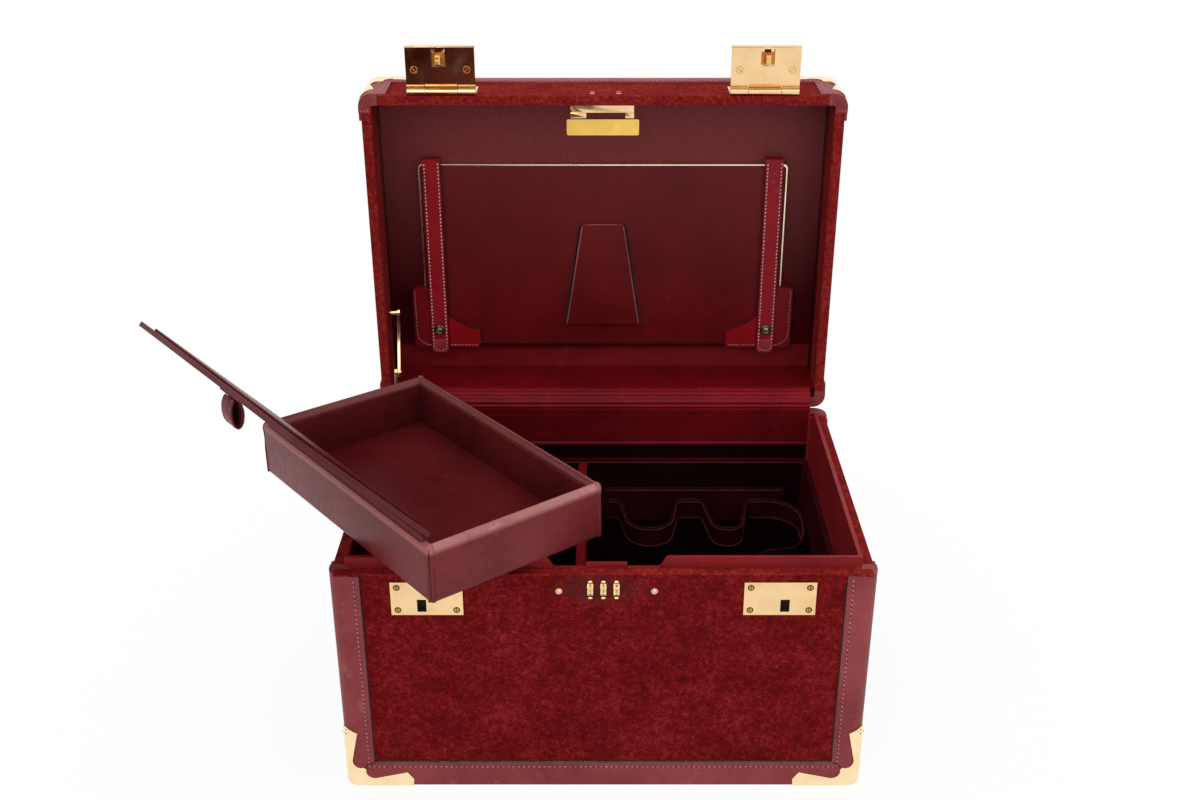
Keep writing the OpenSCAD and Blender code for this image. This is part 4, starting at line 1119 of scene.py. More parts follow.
@dataclass
class BaseCase:
    """The base: bands, suede front, lining, divider, loops and corner guards."""

    plan: Plan = PLAN
    seam_in: float = 3.0
    guard_pins: Sequence[Pair] = ((2.4, 41.0), (38.5, 2.4))
    pin: Point = (0.16, 0.7, 0.7)
    cut_w: float = 0.35
    gap_w: float = 1.0
    gap_in: float = 0.4
    seam_r: float = 0.4
    corner_seam: Sequence[Pair] = ((18.5, 17.5), (16.6, 17.2), (14.6, 16.0), (13.4, 14.4),
                                   (13.0, 12.9))
    corner_suede: Pair = (151.6, 161.6)
    deep_low: Pair = (6.0, 119.5)
    shade_high: Pair = (121.0, 133.0)
    deep_y: Pair = (107.5, 107.8)
    flare: float = 5.0
    loop_out: float = 42.0
    loop_foot: float = 4.1
    loop_half: float = 0.9
    loop_mid: float = 2.3
    loop_z: float = 73.0
    loop_h: float = 17.0
    loop_bend: float = 24.5
    loop_facet: float = 12.0
    loop_seam: float = 1.8
    strip_seam: Pair = (2.0, 134.0)
    loop_wall: float = 101.8
    loop_side: float = 149.8
    loop_ends: Sequence[float] = (9.0, 60.0, 71.0, 112.0)

    def build(self) -> None:
        """Builds and dresses the whole base."""
        self.cover()
        self.stitches()
        self.lining()
        self.loops()
        self.guards()
        self.seams_in_front()

    def cover(self) -> None:
        """Leather and suede outside, with the rim and the lip."""
        repaint("base_shell", BOARD)
        dress("base_front_panel", SUEDE, Body.BASE, 0.25)
        dress("base_cover", HIDE, Body.BASE, 0.25)
        dress("base_edge_bands", HIDE, Body.BASE, 0.45, 3)
        dress("base_rim", RIM_SUEDE, Body.BASE, 0.4, 3)
        dress("base_lip", LIP, Body.BASE, 0.9, 3)

    def seams(self, z0: float, z1: float) -> List[Tuple[List[Point], Point]]:
        """Finds the lines of thread along the bands on the four sides.

        Args:
            z0: The level of the row across.
            z1: The level where the uprights end.

        Returns:
            The rows, each with the way out of its face.
        """
        p = self.plan
        x, y = p.width / 2, p.depth / 2
        a = x - p.band + self.seam_in
        b = y - p.band + self.seam_in
        rows = []
        for side in SIDES:
            rows.append(([(-a, side * y, z1), (-a, side * y, z0), (a, side * y, z0),
                          (a, side * y, z1)], (0, side, 0)))
            rows.append(([(side * x, -b, z1), (side * x, -b, z0), (side * x, b, z0),
                          (side * x, b, z1)], (side, 0, 0)))
        return rows

    def stitches(self) -> None:
        """Thread along the inner edges of the bands."""
        sewing = Stitching()
        p = self.plan
        for path, normal in self.seams(p.foot_band - self.seam_in, p.base_h - self.seam_in):
            sewing.row(path, normal)
        sewing.build("base_stitches", Body.BASE)

    def lining(self) -> None:
        """Leather lining, pad and divider, and dark sheets of painted shade on the base's back
        walls under the pad.
        """
        dress("base_lining", LINING, Body.BASE, 0.8, 3)
        pad = dress("base_back_pad", PAD_HIDE, Body.BASE, 0.6, 3)
        dress("divider", RED, Body.BASE, 1.2, 3)
        # Painted shade: dark sheets over the loop wall and the back wall below the pad.
        deep, x, (low, high) = Shape(), self.loop_side - 0.2, self.deep_low
        deep.box((-x, self.loop_wall - 0.15, low), (x, self.loop_wall + 0.1, high))
        (near, far), (low, high) = self.deep_y, self.shade_high
        deep.box((-x - 3.0, near, low), (x + 3.0, far, high))
        deep.build("deep_lining", PAINTED_SHADE, Body.BASE, Slot.DARK_LEATHER)

    def loops(self) -> None:
        """Bottle loops with sewn edges."""
        dress("bottle_loops", LOOPS, Body.BASE, 0.45, 2, 50.0)
        sewing = Stitching(pitch=2.8, length=1.7, thick=0.6)
        edge = self.loop_path(-self.loop_half - 0.1)
        for z in (self.loop_z + self.loop_seam, self.loop_z + self.loop_h - self.loop_seam):
            sewing.row([(x, y, z) for x, y in edge], slant=0.0)
        top, y = self.loop_z + self.loop_h + 7.2, self.loop_wall - 1.6
        sewing.row([(x, y, top) for x in self.strip_seam], slant=0.0)
        sewing.build("loop_stitches", Body.BASE, Slot.DARK_LEATHER, DULL_THREAD)

    def loop_path(self, aside: float) -> List[Pair]:
        """Follows the bottle loops from one end to the other.

        Args:
            aside: How far to the left of the band's middle line.

        Returns:
            Points of the line seen from above.
        """
        def bottle(width: float) -> List[Pair]:
            """Shapes one bottle's loop between its two tacks.

            Args:
                width: The distance between the tacks.

            Returns:
                Radius and turn of each bend, or 0 and length of each straight run.
            """
            out = self.loop_out - self.loop_foot
            r = (width - 2 * self.flare - 0.35 * out) / 1.68
            run = (out - 0.826 * r) / 0.985
            return [(self.flare, -80), (0, run), (r, 160), (0, run), (self.flare, -80)]

        ends, bend = self.loop_ends, self.loop_bend
        runs = [(0, 4), *bottle(ends[1] - ends[0]), (0, ends[2] - ends[1]),
                *bottle(ends[3] - ends[2]),
                (0, self.loop_side - self.loop_mid - bend - ends[3]), (bend, -90), (0, 12),
                (60, -28), (12, -52), (0, 12), (14, 160), (0, 22.2), (self.flare, -80), (0, 8)]
        x, y, turned = ends[0] - 4, self.loop_wall - self.loop_mid, 0.0
        line = [(x, y, turned)]
        for radius, amount in runs:
            if radius == 0:
                x += amount * math.cos(turned)
                y += amount * math.sin(turned)
                line.append((x, y, turned))
                continue
            side = -1 if amount < 0 else 1
            cx = x - radius * side * math.sin(turned)
            cy = y + radius * side * math.cos(turned)
            steps = math.ceil(abs(amount) / self.loop_facet)
            for k in range(1, steps + 1):
                h = turned + math.radians(amount) * k / steps
                line.append((cx + radius * side * math.sin(h), cy - radius * side * math.cos(h), h))
            x, y, turned = line[-1]
        return [(x - aside * math.sin(h), y + aside * math.cos(h)) for x, y, h in line]

    def guards(self) -> None:
        """Brass guards with their pins."""
        dress("base_corner_guards", GUARD, Body.BASE, 0.3, 2)
        p = self.plan
        pins = Shape()
        for side, front, (a, z) in product(SIDES, SIDES, self.guard_pins):
            x, y = side * p.width / 2, front * p.depth / 2
            pins.ball((x - side * a, y, z), self.pin, Vector((0, 1, 0)))
            pins.ball((x, y - front * a, z), self.pin, Vector((1, 0, 0)))
        pins.build("guard_pins", SCREW, Body.BASE, Slot.BRASS)

    def seams_in_front(self) -> None:
        """Cut edges beside the suede, a strip of painted shadow in the gap there, and the bands'
        corner seams.
        """
        p = self.plan
        a, low, high = p.width / 2 - p.band, p.foot_band, p.base_h - 1.2
        skin, face, deep = p.front_y + 0.1, p.panel_y - 0.08, p.panel_y + 0.1
        edge, gap, seam, corner = Shape(), Shape(), Shape(), Shape()
        for side in SIDES:
            x = side * a
            cut = x - side * self.cut_w
            edge.box((x, skin, low), (cut, deep, high))
            edge.box((0, skin, low - 0.05), (x, deep, low + self.cut_w))
            # Painted shadow: dark strips on the suede along the bands' edges.
            gap.box((cut, face, low), (x - side * self.gap_w, deep, high))
            gap.box((0, face, low + self.cut_w), (x - side * self.gap_in, deep, low + self.gap_w))
            seam.tube([(side * (p.width / 2 - u), p.front_y + 0.05, z)
                       for u, z in self.corner_seam], self.seam_r)
            corner.box((side * self.corner_suede[0], p.front_y - 0.03, p.base_h - 0.9),
                       (side * self.corner_suede[1], p.front_y + 7.9, p.base_h + 0.07))
        corner.round_edges(0.3, 2)
        corner.build("rim_corner_suede", RIM_SUEDE, Body.BASE, Slot.SUEDE)
        edge.build("band_cut_edges", EDGE, Body.BASE, Slot.LEATHER)
        gap.build("panel_gap", SHADOW, Body.BASE, Slot.SUEDE)
        seam.build("band_corner_seams", SHADOW, Body.BASE, Slot.LEATHER)


@dataclass
class Hardware:
    """Brass on the base: plates, lock, wheels, hinge and stay."""

    plan: Plan = PLAN
    wheel_r: float = 5.4
    wheel_y: float = -112.2
    wheel_z: float = 147.3
    pitch: float = 7.9
    digits: int = 10
    plate_x: float = 106.3
    plate_z: float = 141.1
    screw_x: float = 17.75
    screw_z: float = 7.9
    slots: Sequence[float] = (12.0, -8.0, 4.0, -14.0, 8.0, 2.0, -6.0, 10.0)
    head: Pair = (1.75, 1.45)
    head_ring: Pair = (1.95, 0.2)
    slot_bed: float = 1.3
    slot_half: float = 0.24
    figure: Pair = (3.0, 0.03)
    stud_x: float = 28.7
    dome: Point = (1.1, 1.5, 1.5)
    dome_ring: Pair = (1.75, 0.4)
    guide: Point = (1.0, 1.6, 0.9)
    guide_z: float = 5.7

    def build(self) -> None:
        """Builds and dresses the brass."""
        # The lock case is painted dark as shade round the wheels.
        dress("lock_case", SHADED_BRASS, Body.BASE, 0.2)
        self.screws()
        self.studs()
        for node, width in (("latch_plates", 0.25), ("lock_axle", 0.1), ("hinge_leaf_base", 0.2),
                            ("hinge_pin", 0.1), ("stay_bracket", 0.2)):
            dress(node, GOLD, Body.BASE, width)
        dress("stay_lower_arm", GOLD, Body.STAY_LOWER, 0.25)
        dress("stay_upper_arm", GOLD, Body.STAY_UPPER, 0.25)
        wheels = (("lock_wheel_left", Body.WHEEL_LEFT), ("lock_wheel_centre", Body.WHEEL_CENTRE),
                  ("lock_wheel_right", Body.WHEEL_RIGHT))
        for index, (node, body) in enumerate(wheels):
            dress(node, GOLD, body, 0.2)
            self.numerals(node, body, (index - 1) * self.pitch, index * 2 + 1)

    def screws(self) -> None:
        """Slotted screws in the latch plates, each in a fine dark ring."""
        heads, rings = Shape(), Shape()
        face = self.plan.panel_y - 0.8
        for count, (side, sx, sz) in enumerate(product(SIDES, repeat=3)):
            x, z = side * self.plate_x + sx * self.screw_x, self.plate_z + sz * self.screw_z
            for half in SIDES:
                part = Shape()
                part.rod(self.head[0], (0, 0, -0.3), (0, 0, 0.2), 20, self.head[1])
                geom = part.mesh.verts[:] + part.mesh.edges[:] + part.mesh.faces[:]
                bmesh.ops.bisect_plane(part.mesh, geom=geom, clear_inner=True,
                                       plane_co=(half * self.slot_half * MM, 0, 0),
                                       plane_no=(half, 0, 0))
                bmesh.ops.holes_fill(part.mesh, edges=part.mesh.edges)
                heads.join(part, shift(x, face, z) @ turn(90.0, "X")
                           @ turn(self.slots[count], "Z"))
            rings.ring((x, face + 0.05, z), Vector((0, 1, 0)), *self.head_ring)
            rings.rod(self.slot_bed, (x, face - 0.12, z), (x, face + 0.2, z), 16)
        heads.build("latch_screw_heads", SCREW, Body.BASE, Slot.BRASS, ["latch_screws"])
        rings.build("latch_screw_rings", GROOVE, Body.BASE, Slot.BRASS)

    def studs(self) -> None:
        """The lock's two domed studs, each with its ring, and tabs at the wheels' ends."""
        domes, rings = Shape(), Shape()
        face, out = self.plan.panel_y, Vector((0, 1, 0))
        for side in SIDES:
            place = (self.plan.lock_x + side * self.stud_x, face - 0.3, self.wheel_z - 0.9)
            domes.ball(place, self.dome, out, 3)
            rings.ring(place, out, *self.dome_ring)
        guides = Shape()
        for k, up in product((-1, 0, 1), SIDES):
            place = (k * self.pitch, face - 0.2, self.wheel_z + up * self.guide_z)
            guides.ball(place, self.guide, out, 3)
        guides.build("wheel_guides", GOLD, Body.BASE, Slot.BRASS)
        domes.build("lock_stud_domes", ROSE, Body.BASE, Slot.BRASS)
        rings.build("lock_stud_rings", GOLD, Body.BASE, Slot.BRASS)

    def numerals(self, node: str, body: Body, x: float, first: int) -> None:
        """Ten plain figures round a wheel.

        Args:
            node: The wheel's node.
            body: The wheel's body.
            x: The wheel's place across the case.
            first: The figure that faces the front.
        """
        mesh = bmesh.new()
        for k in range(self.digits):
            curve = bpy.data.curves.new("figure", "FONT")
            curve.body = str((first + k) % self.digits)
            curve.size, curve.extrude = (v * MM for v in self.figure)
            curve.align_x = curve.align_y = "CENTER"
            figure = bpy.data.objects.new("figure", curve)
            bpy.context.scene.collection.objects.link(figure)
            bpy.context.view_layer.update()
            flat = bpy.data.meshes.new_from_object(figure)
            angle = 360.0 / self.digits * k
            flat.transform(shift(x, self.wheel_y, self.wheel_z) @ turn(angle, "X")
                           @ shift(0, -self.wheel_r - 0.02, 0) @ turn(90, "X"))
            mesh.from_mesh(flat)
            bpy.data.objects.remove(figure)
            bpy.data.curves.remove(curve)
            bpy.data.meshes.remove(flat)
        data = bpy.data.meshes.new(node + "_figures")
        mesh.to_mesh(data)
        mesh.free()
        finish_piece(data, node + "_figures", INK, body, [], 40.0)


@dataclass
class Gusset:
    """The leather roll over the hinge."""

    left: float = -147.0
    right: float = 152.9
    low: Pair = (107.4, 158.0)
    high: Pair = (116.7, 175.0)
    radius: float = 12.0
    thick: float = 1.5
    steps: int = 36
    spans: int = 40
    fold_w: float = 0.03
    folds: Sequence[Pair] = ((0.2, 0.45), (0.34, 0.7), (0.5, 0.35), (0.66, 0.6), (0.84, 0.4))

    def build(self) -> None:
        """Sweeps the bulging strip along the hinge."""
        low, high = Vector(self.low), Vector(self.high)
        chord = high - low
        rise = math.sqrt(self.radius ** 2 - chord.length_squared / 4)
        centre = (low + high) / 2 + Vector((chord.y, -chord.x)) / chord.length * rise
        first = math.atan2(low.y - centre.y, low.x - centre.x)
        last = math.atan2(high.y - centre.y, high.x - centre.x)
        if last > first:
            last -= 2 * math.pi
        turns = [first + (last - first) * k / self.steps for k in range(self.steps + 1)]
        outer = []
        for k, t in enumerate(turns):
            share = k / self.steps
            fold = sum(depth * math.exp(-((share - spot) / self.fold_w) ** 2)
                       for spot, depth in self.folds)
            reach = self.radius - fold * (0 < k < self.steps)
            outer.append((centre.x + reach * math.cos(t), centre.y + reach * math.sin(t)))
        under = self.radius - self.thick
        inner = arc(tuple(centre), (under, under), [math.degrees(t) for t in reversed(turns)])
        step = (self.right - self.left) / self.spans
        frames = [across(self.left + step * k) for k in range(self.spans + 1)]
        shape = Shape()
        shape.sweep(outer + inner, frames)
        piece = shape.build("hinge_roll", ROLL, None, Slot.LEATHER, ["hinge_gusset"])
        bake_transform(piece)


@dataclass
class Lid:
    """The lid with its lining, mirror, straps, pockets, catch and handle."""

    plan: Plan = PLAN
    seam_in: float = 3.0
    strut_l: float = 78.0
    strut_half: Pair = (15.0, 26.7)
    strut_share: float = 0.68
    strut_in: float = 7.8
    ledge_half: float = 91.5
    pocket_r: float = 47.9
    facing: Pair = (48.4, 32.0)
    corner_r: float = 10.2
    wall: Pair = (157.0, 101.5)
    rim_return: float = 24.0
    rivet_at: Sequence[float] = (-9.2, 8.6)
    rivet_z: float = 8.6
    rivet: Point = (0.65, 1.8, 1.8)
    fold_r: float = 0.34
    snap_ring: Pair = (3.0, 1.05)
    tip: Point = (11.4, 10.5, 0.5)
    strap_seam: Pair = (4.9, 2.4)
    patch_rows: Sequence[Sequence[Pair]] = (((153.4, -116.2), (153.4, -109.8)),
                                            ((164.2, -105.4), (157.8, -105.4)))
    patch_folds: Sequence[Sequence[Pair]] = (
        ((163.6, -111.6), (160.6, -110.1), (157.7, -109.5)),
        ((161.6, -115.2), (159.2, -112.3), (157.6, -109.9)),
        ((157.2, -116.0), (156.8, -112.8), (157.3, -109.7)),
        ((163.9, -107.6), (160.5, -107.9), (157.6, -108.9)))

    def build(self) -> None:
        """Builds and dresses the lid."""
        repaint("lid_shell", BOARD)
        dress("lid_front_panel", RIM_SUEDE, Body.LID, 0.25)
        dress("lid_cover", HIDE, Body.LID, 0.25)
        dress("lid_edge_bands", HIDE, Body.LID, 0.45, 3)
        dress("lid_rim", RIM_SUEDE, Body.LID, 0.4, 3)
        dress("lid_lining", LID_LINING, Body.LID, 0.6, 3)
        self.walls()
        self.corner_patches()
        dress("lid_corner_guards", GUARD, Body.LID, 0.3)
        for node, width in (("hinge_leaf_lid", 0.2), ("catch_bracket", 0.3), ("stay_stud", 0.2),
                            ("hasp_mounts", 0.2), ("hasp_pins", 0.1), ("handle_posts", 0.4)):
            dress(node, GOLD, Body.LID, width)
        dress("plain_plate", SATIN, Body.LID, 0.25)
        self.stitches()
        self.mirror()
        self.straps()

    def walls(self) -> None:
        """Suede returned over the rim, and the linings of the lid's walls and foot; the side
        linings are painted darker as shade.
        """
        p = self.plan
        x, y = self.wall
        low, high = p.rim + 1.2, p.ceiling - 0.2
        sides, back, foot, returns = (Shape(p.lid) for _ in range(4))
        for side in SIDES:
            sides.box((side * (x - 0.15), -y - 6.9, low), (side * (x + 0.1), y - 0.2, high))
            returns.box((side * (x - 0.4), -y - 7.0, p.rim + 0.3),
                        (side * x, y - 0.3, low + self.rim_return))
        back.box((-x + 0.2, y - 0.2, low), (x - 0.2, y + 0.1, high))
        foot.box((-x + 0.3, p.mirror_y + 3.0, high - 0.2), (x - 0.3, y - 0.3, high + 0.1))
        returns.build("lid_rim_returns", RIM_SUEDE, Body.LID, Slot.SUEDE)
        sides.build("lid_side_linings", SHADED, Body.LID, Slot.DARK_LEATHER)
        back.build("lid_back_lining", BACK_WALL, Body.LID, Slot.DARK_LEATHER)
        foot.build("lid_foot_lining", LEDGE, Body.LID, Slot.DARK_LEATHER)

    def corner_patches(self) -> None:
        """Thread across the ends of the rim's corner patches, and the leather's folds."""
        p = self.plan
        sewing, folds = Stitching(p.lid, pitch=2.1, length=1.5, thick=0.6), Shape(p.lid)
        for side in SIDES:
            for line in self.patch_rows:
                sewing.row([(side * x, y, p.rim) for x, y in line], slant=0.0)
            for line in self.patch_folds:
                folds.tube([(side * x, y, p.rim - 0.02) for x, y in line], self.fold_r, 6)
        sewing.build("rim_patch_stitches", Body.LID)
        folds.build("rim_patch_folds", HIDE, Body.LID, Slot.LEATHER)

    def stitches(self) -> None:
        """Thread along the bands on the lid's sides and top."""
        p = self.plan
        top = p.rim + p.lid_h
        sewing = Stitching(p.lid)
        for path, normal in BaseCase().seams(top - p.top_band + self.seam_in,
                                             p.rim + self.seam_in):
            sewing.row(path, normal)
        a = p.width / 2 - p.foot_band + self.seam_in
        b = p.depth / 2 - p.foot_band + self.seam_in
        sewing.row([(-a, -b, top), (a, -b, top), (a, b, top), (-a, b, top), (-a, -b, top)])
        sewing.build("lid_stitches", Body.LID)

    def mirror(self) -> None:
        """The easel mirror, face down."""
        repaint("mirror_glass", MIRROR)
        dress("mirror_frame", SILVERY, Body.LID, 0.2)
        dress("mirror_back", BACK_HIDE, Body.LID, 0.6, 3)
        dress("easel_strut", BACK_HIDE, Body.STRUT, 0.7, 3)
        self.strut_piping()
        self.rest()
        self.rivets()

    def strut_piping(self) -> None:
        """Pale rolled edges on both sides of the strut, their pale colour partly a painted
        highlight, and painted shadow beside it on both sides.
        """
        p = self.plan
        y, z = p.mirror_y - self.strut_share * p.mirror_h, p.ceiling - self.strut_in
        narrow, wide = self.strut_half
        piping, gaps = Shape(p.lid), Shape(p.lid)
        for side in SIDES:
            ends = (side * narrow, y + 1.0, z + 0.3), (side * wide, y + self.strut_l - 0.8, z + 0.3)
            piping.tube([ends[0], tuple((Vector(ends[0]) + Vector(ends[1])) / 2), ends[1]], 0.55)
            # Painted shadow: dark cords beside the strut's edges.
            gaps.tube([(x + side * 1.5, v, z + 2.55) for x, v, _ in ends], 0.75, 6)
        end = narrow - 0.4
        piping.tube([(-end, y - 0.2, z + 0.5), (0, y - 0.35, z + 0.5), (end, y - 0.2, z + 0.5)],
                    0.5)
        piping.build("strut_piping", PIPING, Body.STRUT, Slot.DARK_LEATHER)
        gaps.build("strut_gaps", SHADOW, Body.LID, Slot.DARK_LEATHER)

    def rivets(self) -> None:
        """Suede-coloured caps on the catch's two rivets."""
        p = self.plan
        caps = Shape(p.lid)
        for x in self.rivet_at:
            caps.ball((x + p.lock_x, p.panel_y - 0.75, p.rim + self.rivet_z), self.rivet,
                      Vector((0, 1, 0)), 3)
        caps.build("catch_rivet_caps", RIVET, Body.LID, Slot.BRASS)

    def rest(self) -> None:
        """The sewn leather ledge that the mirror's lower edge stands in."""
        p = self.plan
        shape = Shape(p.lid)
        shape.box((-self.ledge_half, p.mirror_y - 1.5, p.ceiling - 5.6),
                  (self.ledge_half, p.mirror_y + 2.4, p.ceiling - 0.2))
        shape.round_edges(0.9, 3)
        shape.build("mirror_ledge", LID_LINING, Body.LID, Slot.DARK_LEATHER)

    def pockets(self) -> None:
        """Corner pockets: a bright inner facing and an outer one with sewn edges."""
        p = self.plan
        dress("mirror_pockets", RED, Body.LID, 0.4, 2)
        x1, y1 = p.mirror_w / 2 + 9, p.mirror_y + 2.5
        z = p.ceiling - 7.1
        sewing = Stitching(p.lid, pitch=2.6, length=1.9, thick=0.7)
        for side in SIDES:
            facing = Shape(p.lid)
            low, high = x1 - self.facing[0], p.strap_x - 7.0
            facing.box((low, y1 - self.facing[1], z - 0.35), (high, y1 - 0.6, z + 0.2))
            centre, r = (x1 - 57.7, y1 - 60.1), self.pocket_r
            facing.carve(arc(centre, (r, r), range(90, 17, -6)), (0, 0, 1))
            if side < 0:
                bmesh.ops.scale(facing.mesh, vec=(-1, 1, 1), verts=facing.mesh.verts)
            facing.build("pocket_facing_" + ("left" if side < 0 else "right"), CRIMSON, Body.LID,
                         Slot.RED_LEATHER)
            sewing.row([(side * x, y1 - 2.2, z - 0.45) for x in (low + 1.5, high)], slant=0.0)
            corner, r = [(p.strap_x + 7.5, y1 - 2.0), (x1 - 12.0, y1 - 2.0)], self.corner_r
            corner += arc((x1 - 12.0, y1 - 12.2), (r, r), range(75, 14, -15))
            corner += [(x1 - 1.8, y1 - 12.2), (x1 - 1.8, y1 - 46.0)]
            sewing.row([(side * x, y, z - 0.1) for x, y in corner], slant=0.0)
        sewing.build("pocket_stitches", Body.LID, Slot.RED_LEATHER)

    def snap(self, side: int, body: Body, node: str) -> None:
        """A snap's worn cap inside a dark green ring.

        Args:
            side: -1 for the left strap or 1 for the right.
            body: The strap's body.
            node: The snap's node.
        """
        p = self.plan
        place = (side * p.strap_x, p.mirror_y - 13, p.strap_z - 0.9)
        dress(node, SNAP_CORE, body, 0.2)
        ring = Shape(p.lid)
        ring.ring(place, Vector((0, 0, 1)), *self.snap_ring, 32, 12)
        ring.build(node + "_ring", SNAP, body, Slot.DARK_BRASS)

    def straps(self) -> None:
        """Straps with their snaps, thread and grained tips."""
        p = self.plan
        self.pockets()
        top, bottom, z = p.mirror_y - p.mirror_h - 2, p.mirror_y + 4, p.strap_z
        a, b = self.strap_seam
        for side, body, strap, snap in ((-1, Body.STRAP_LEFT, "strap_left", "snap_left"),
                                        (1, Body.STRAP_RIGHT, "strap_right", "snap_right")):
            dress(strap, STRAP_HIDE, body, 0.5, 3)
            self.snap(side, body, snap)
            sewing = Stitching(p.lid, pitch=2.7, length=2.0, thick=0.95)
            x = side * p.strap_x
            tip = Shape(p.lid)
            tip.slab(self.tip, (x, bottom - 3.6, z - 0.05), 2.8, 4)
            tip.round_edges(0.2, 2, 50.0)
            tip.build(strap + "_tip", STRAP_TIP, body, Slot.RED_LEATHER)
            sewing.row([(x - a, top, z), (x - a, bottom - 2, z), (x - b, bottom, z),
                        (x + b, bottom, z), (x + a, bottom - 2, z), (x + a, top, z)], slant=20.0)
            sewing.build(strap + "_stitches", body, Slot.RED_LEATHER, BRIGHT_THREAD)


@dataclass
class Hasp:
    """A flip-up hasp with its sliding hook."""

    sign: int
    side: str
    body: Body
    hook: Body
    plan: Plan = PLAN
    width: float = 46.2
    length: float = 30.6
    neck: float = -2.8
    skin: float = 0.8
    back: float = 1.2
    screw_x: float = 17.6
    screw_z: float = -15.0
    window: Point = (4.5, -28.6, -17.2)
    hook_z: float = -24.2
    mid: float = 11.0
    nose_half: float = 1.8
    nose_out: float = 4.65
    screw_ring: Pair = (2.25, 0.2)
    knuckle_ring: Pair = (2.28, 0.2)
    slot: Pair = (0.24, 2.0)
    aside: float = 1.0

    def build(self) -> None:
        """Dresses the hasp and its hook."""
        dress("hasp_cover_" + self.side, GOLD, self.body, 0.0, 1, 25.0)
        dress("hook_" + self.side, AMBER, self.hook, 0.3, 3)
        self.plate()
        self.screws()
        self.nose()
        self.knuckle_gaps()

    def shapes(self, count: int) -> List[Shape]:
        """Empty shapes in the raised hasp's own frame."""
        return [Shape(self.plan.hasp(self.sign)) for _ in range(count)]

    def plate(self) -> None:
        """The mirror-flat inner plate round its window, with a rolled lip on top."""
        half, low, high = self.window
        x, w = self.sign * self.aside, self.width / 2
        y0, y1, top = self.back - self.skin, self.back, -self.length
        plate, lip, roll = self.shapes(3)
        plate.box((-w, y0, top), (w, y1, low))
        plate.box((-w, y0, high), (w, y1, self.neck))
        plate.box((-w, y0, low), (x - half, y1, high))
        plate.box((x + half, y0, low), (w, y1, high))
        # The left plate takes a copy of the gold tuned to its dark reflection; the two plates are
        # the same brass.
        plate.build("hasp_inner_plate_" + self.side, LEFT_REFLECTION_GOLD if self.sign < 0 else GOLD, self.body,
                    Slot.BRASS, ["hasp_plate_" + self.side], 10.0)
        lip.sweep([(y0, top), (y1 - 0.12, top - 0.1), (y1 + 0.1, top + 0.7), (y1, top + 0.9),
                   (y0, top + 0.9)], [across(-w - 0.5), across(w + 0.5)])
        lip.build("hasp_lip_" + self.side, GOLD, self.body, Slot.BRASS, sharp=20.0)
        y, z, gap = y1 - 0.25, self.neck - 1.3, 0.3
        for a, b, r in ((-w, -self.mid - gap, 1.0), (-self.mid + gap, self.mid - gap, 1.35),
                        (self.mid + gap, w, 1.0)):
            roll.rod(r, (a, y, z), (b, y, z), 24)
        roll.build("hasp_roll_" + self.side, ROLLED, self.body, Slot.BRASS, sharp=50.0)

    def screws(self) -> None:
        """The two slotted screws of the inner plate: a ring and a slot in each."""
        rings, slots = self.shapes(2)
        for e in SIDES:
            place = (e * self.screw_x, self.back - 0.11, self.screw_z)
            rings.ring(place, Vector((0, 1, 0)), *self.screw_ring, 32)
            slot, (radius, half) = Shape(), self.slot
            slot.rod(radius, (-half, 0, 0), (half, 0, 0), 12)
            slots.join(slot, shift(*place) @ turn(45.0 * e, "Y"))
        # The screws differ by side only to suit each plate's reflection: lit and shaded copies of
        # one brass.
        finish = ROLLED if self.sign < 0 else AMBER
        rings.build("hasp_screw_rings_" + self.side, finish, self.body, Slot.BRASS)
        slots.build("hasp_screw_slots_" + self.side, finish, self.body, Slot.BRASS)

    def nose(self) -> None:
        """The bright worn nose of the hook, and a dark strip of painted shade that shuts its slot.
        """
        shape, cover = self.shapes(2)
        x, half, out = self.sign * self.aside, self.nose_half, self.back + self.nose_out
        low, high = self.hook_z - 1.1, self.hook_z + 1.8
        shape.box((x - half, 0.2, low), (x + half, out, high))
        shape.box((x - half, self.back + 1.45, high - 0.3), (x + half, out, high + 3.45))
        shape.round_edges(0.4, 3)
        shape.build("hook_nose_" + self.side, NOSE, self.hook, Slot.BRASS)
        front = self.back - 3.2
        cover.box((x - 2.3, front - 0.35, self.hook_z - 5.5),
                  (x + 2.3, front - 0.08, self.hook_z - 1.9))
        cover.build("hook_slot_cover_" + self.side, SHADED_BRASS, self.hook, Slot.BRASS)

    def knuckle_gaps(self) -> None:
        """Dark joints between the knuckles of the hasp's pin."""
        x, y, z = self.plan.hasp_pin
        shape = Shape(self.plan.lid)
        for e in SIDES:
            shape.ring((self.sign * x + e * (self.mid + 0.1), y, z), Vector((1, 0, 0)),
                       *self.knuckle_ring, 32)
        shape.build("hasp_knuckle_gaps_" + self.side, GROOVE, Body.LID, Slot.BRASS)


@dataclass
class Handle:
    """The leather grip on the lid's top."""

    sharp: float = 50.0

    def build(self) -> None:
        """Dresses the grip."""
        dress("handle_grip", HIDE, Body.HANDLE, 0.0, 1, self.sharp)


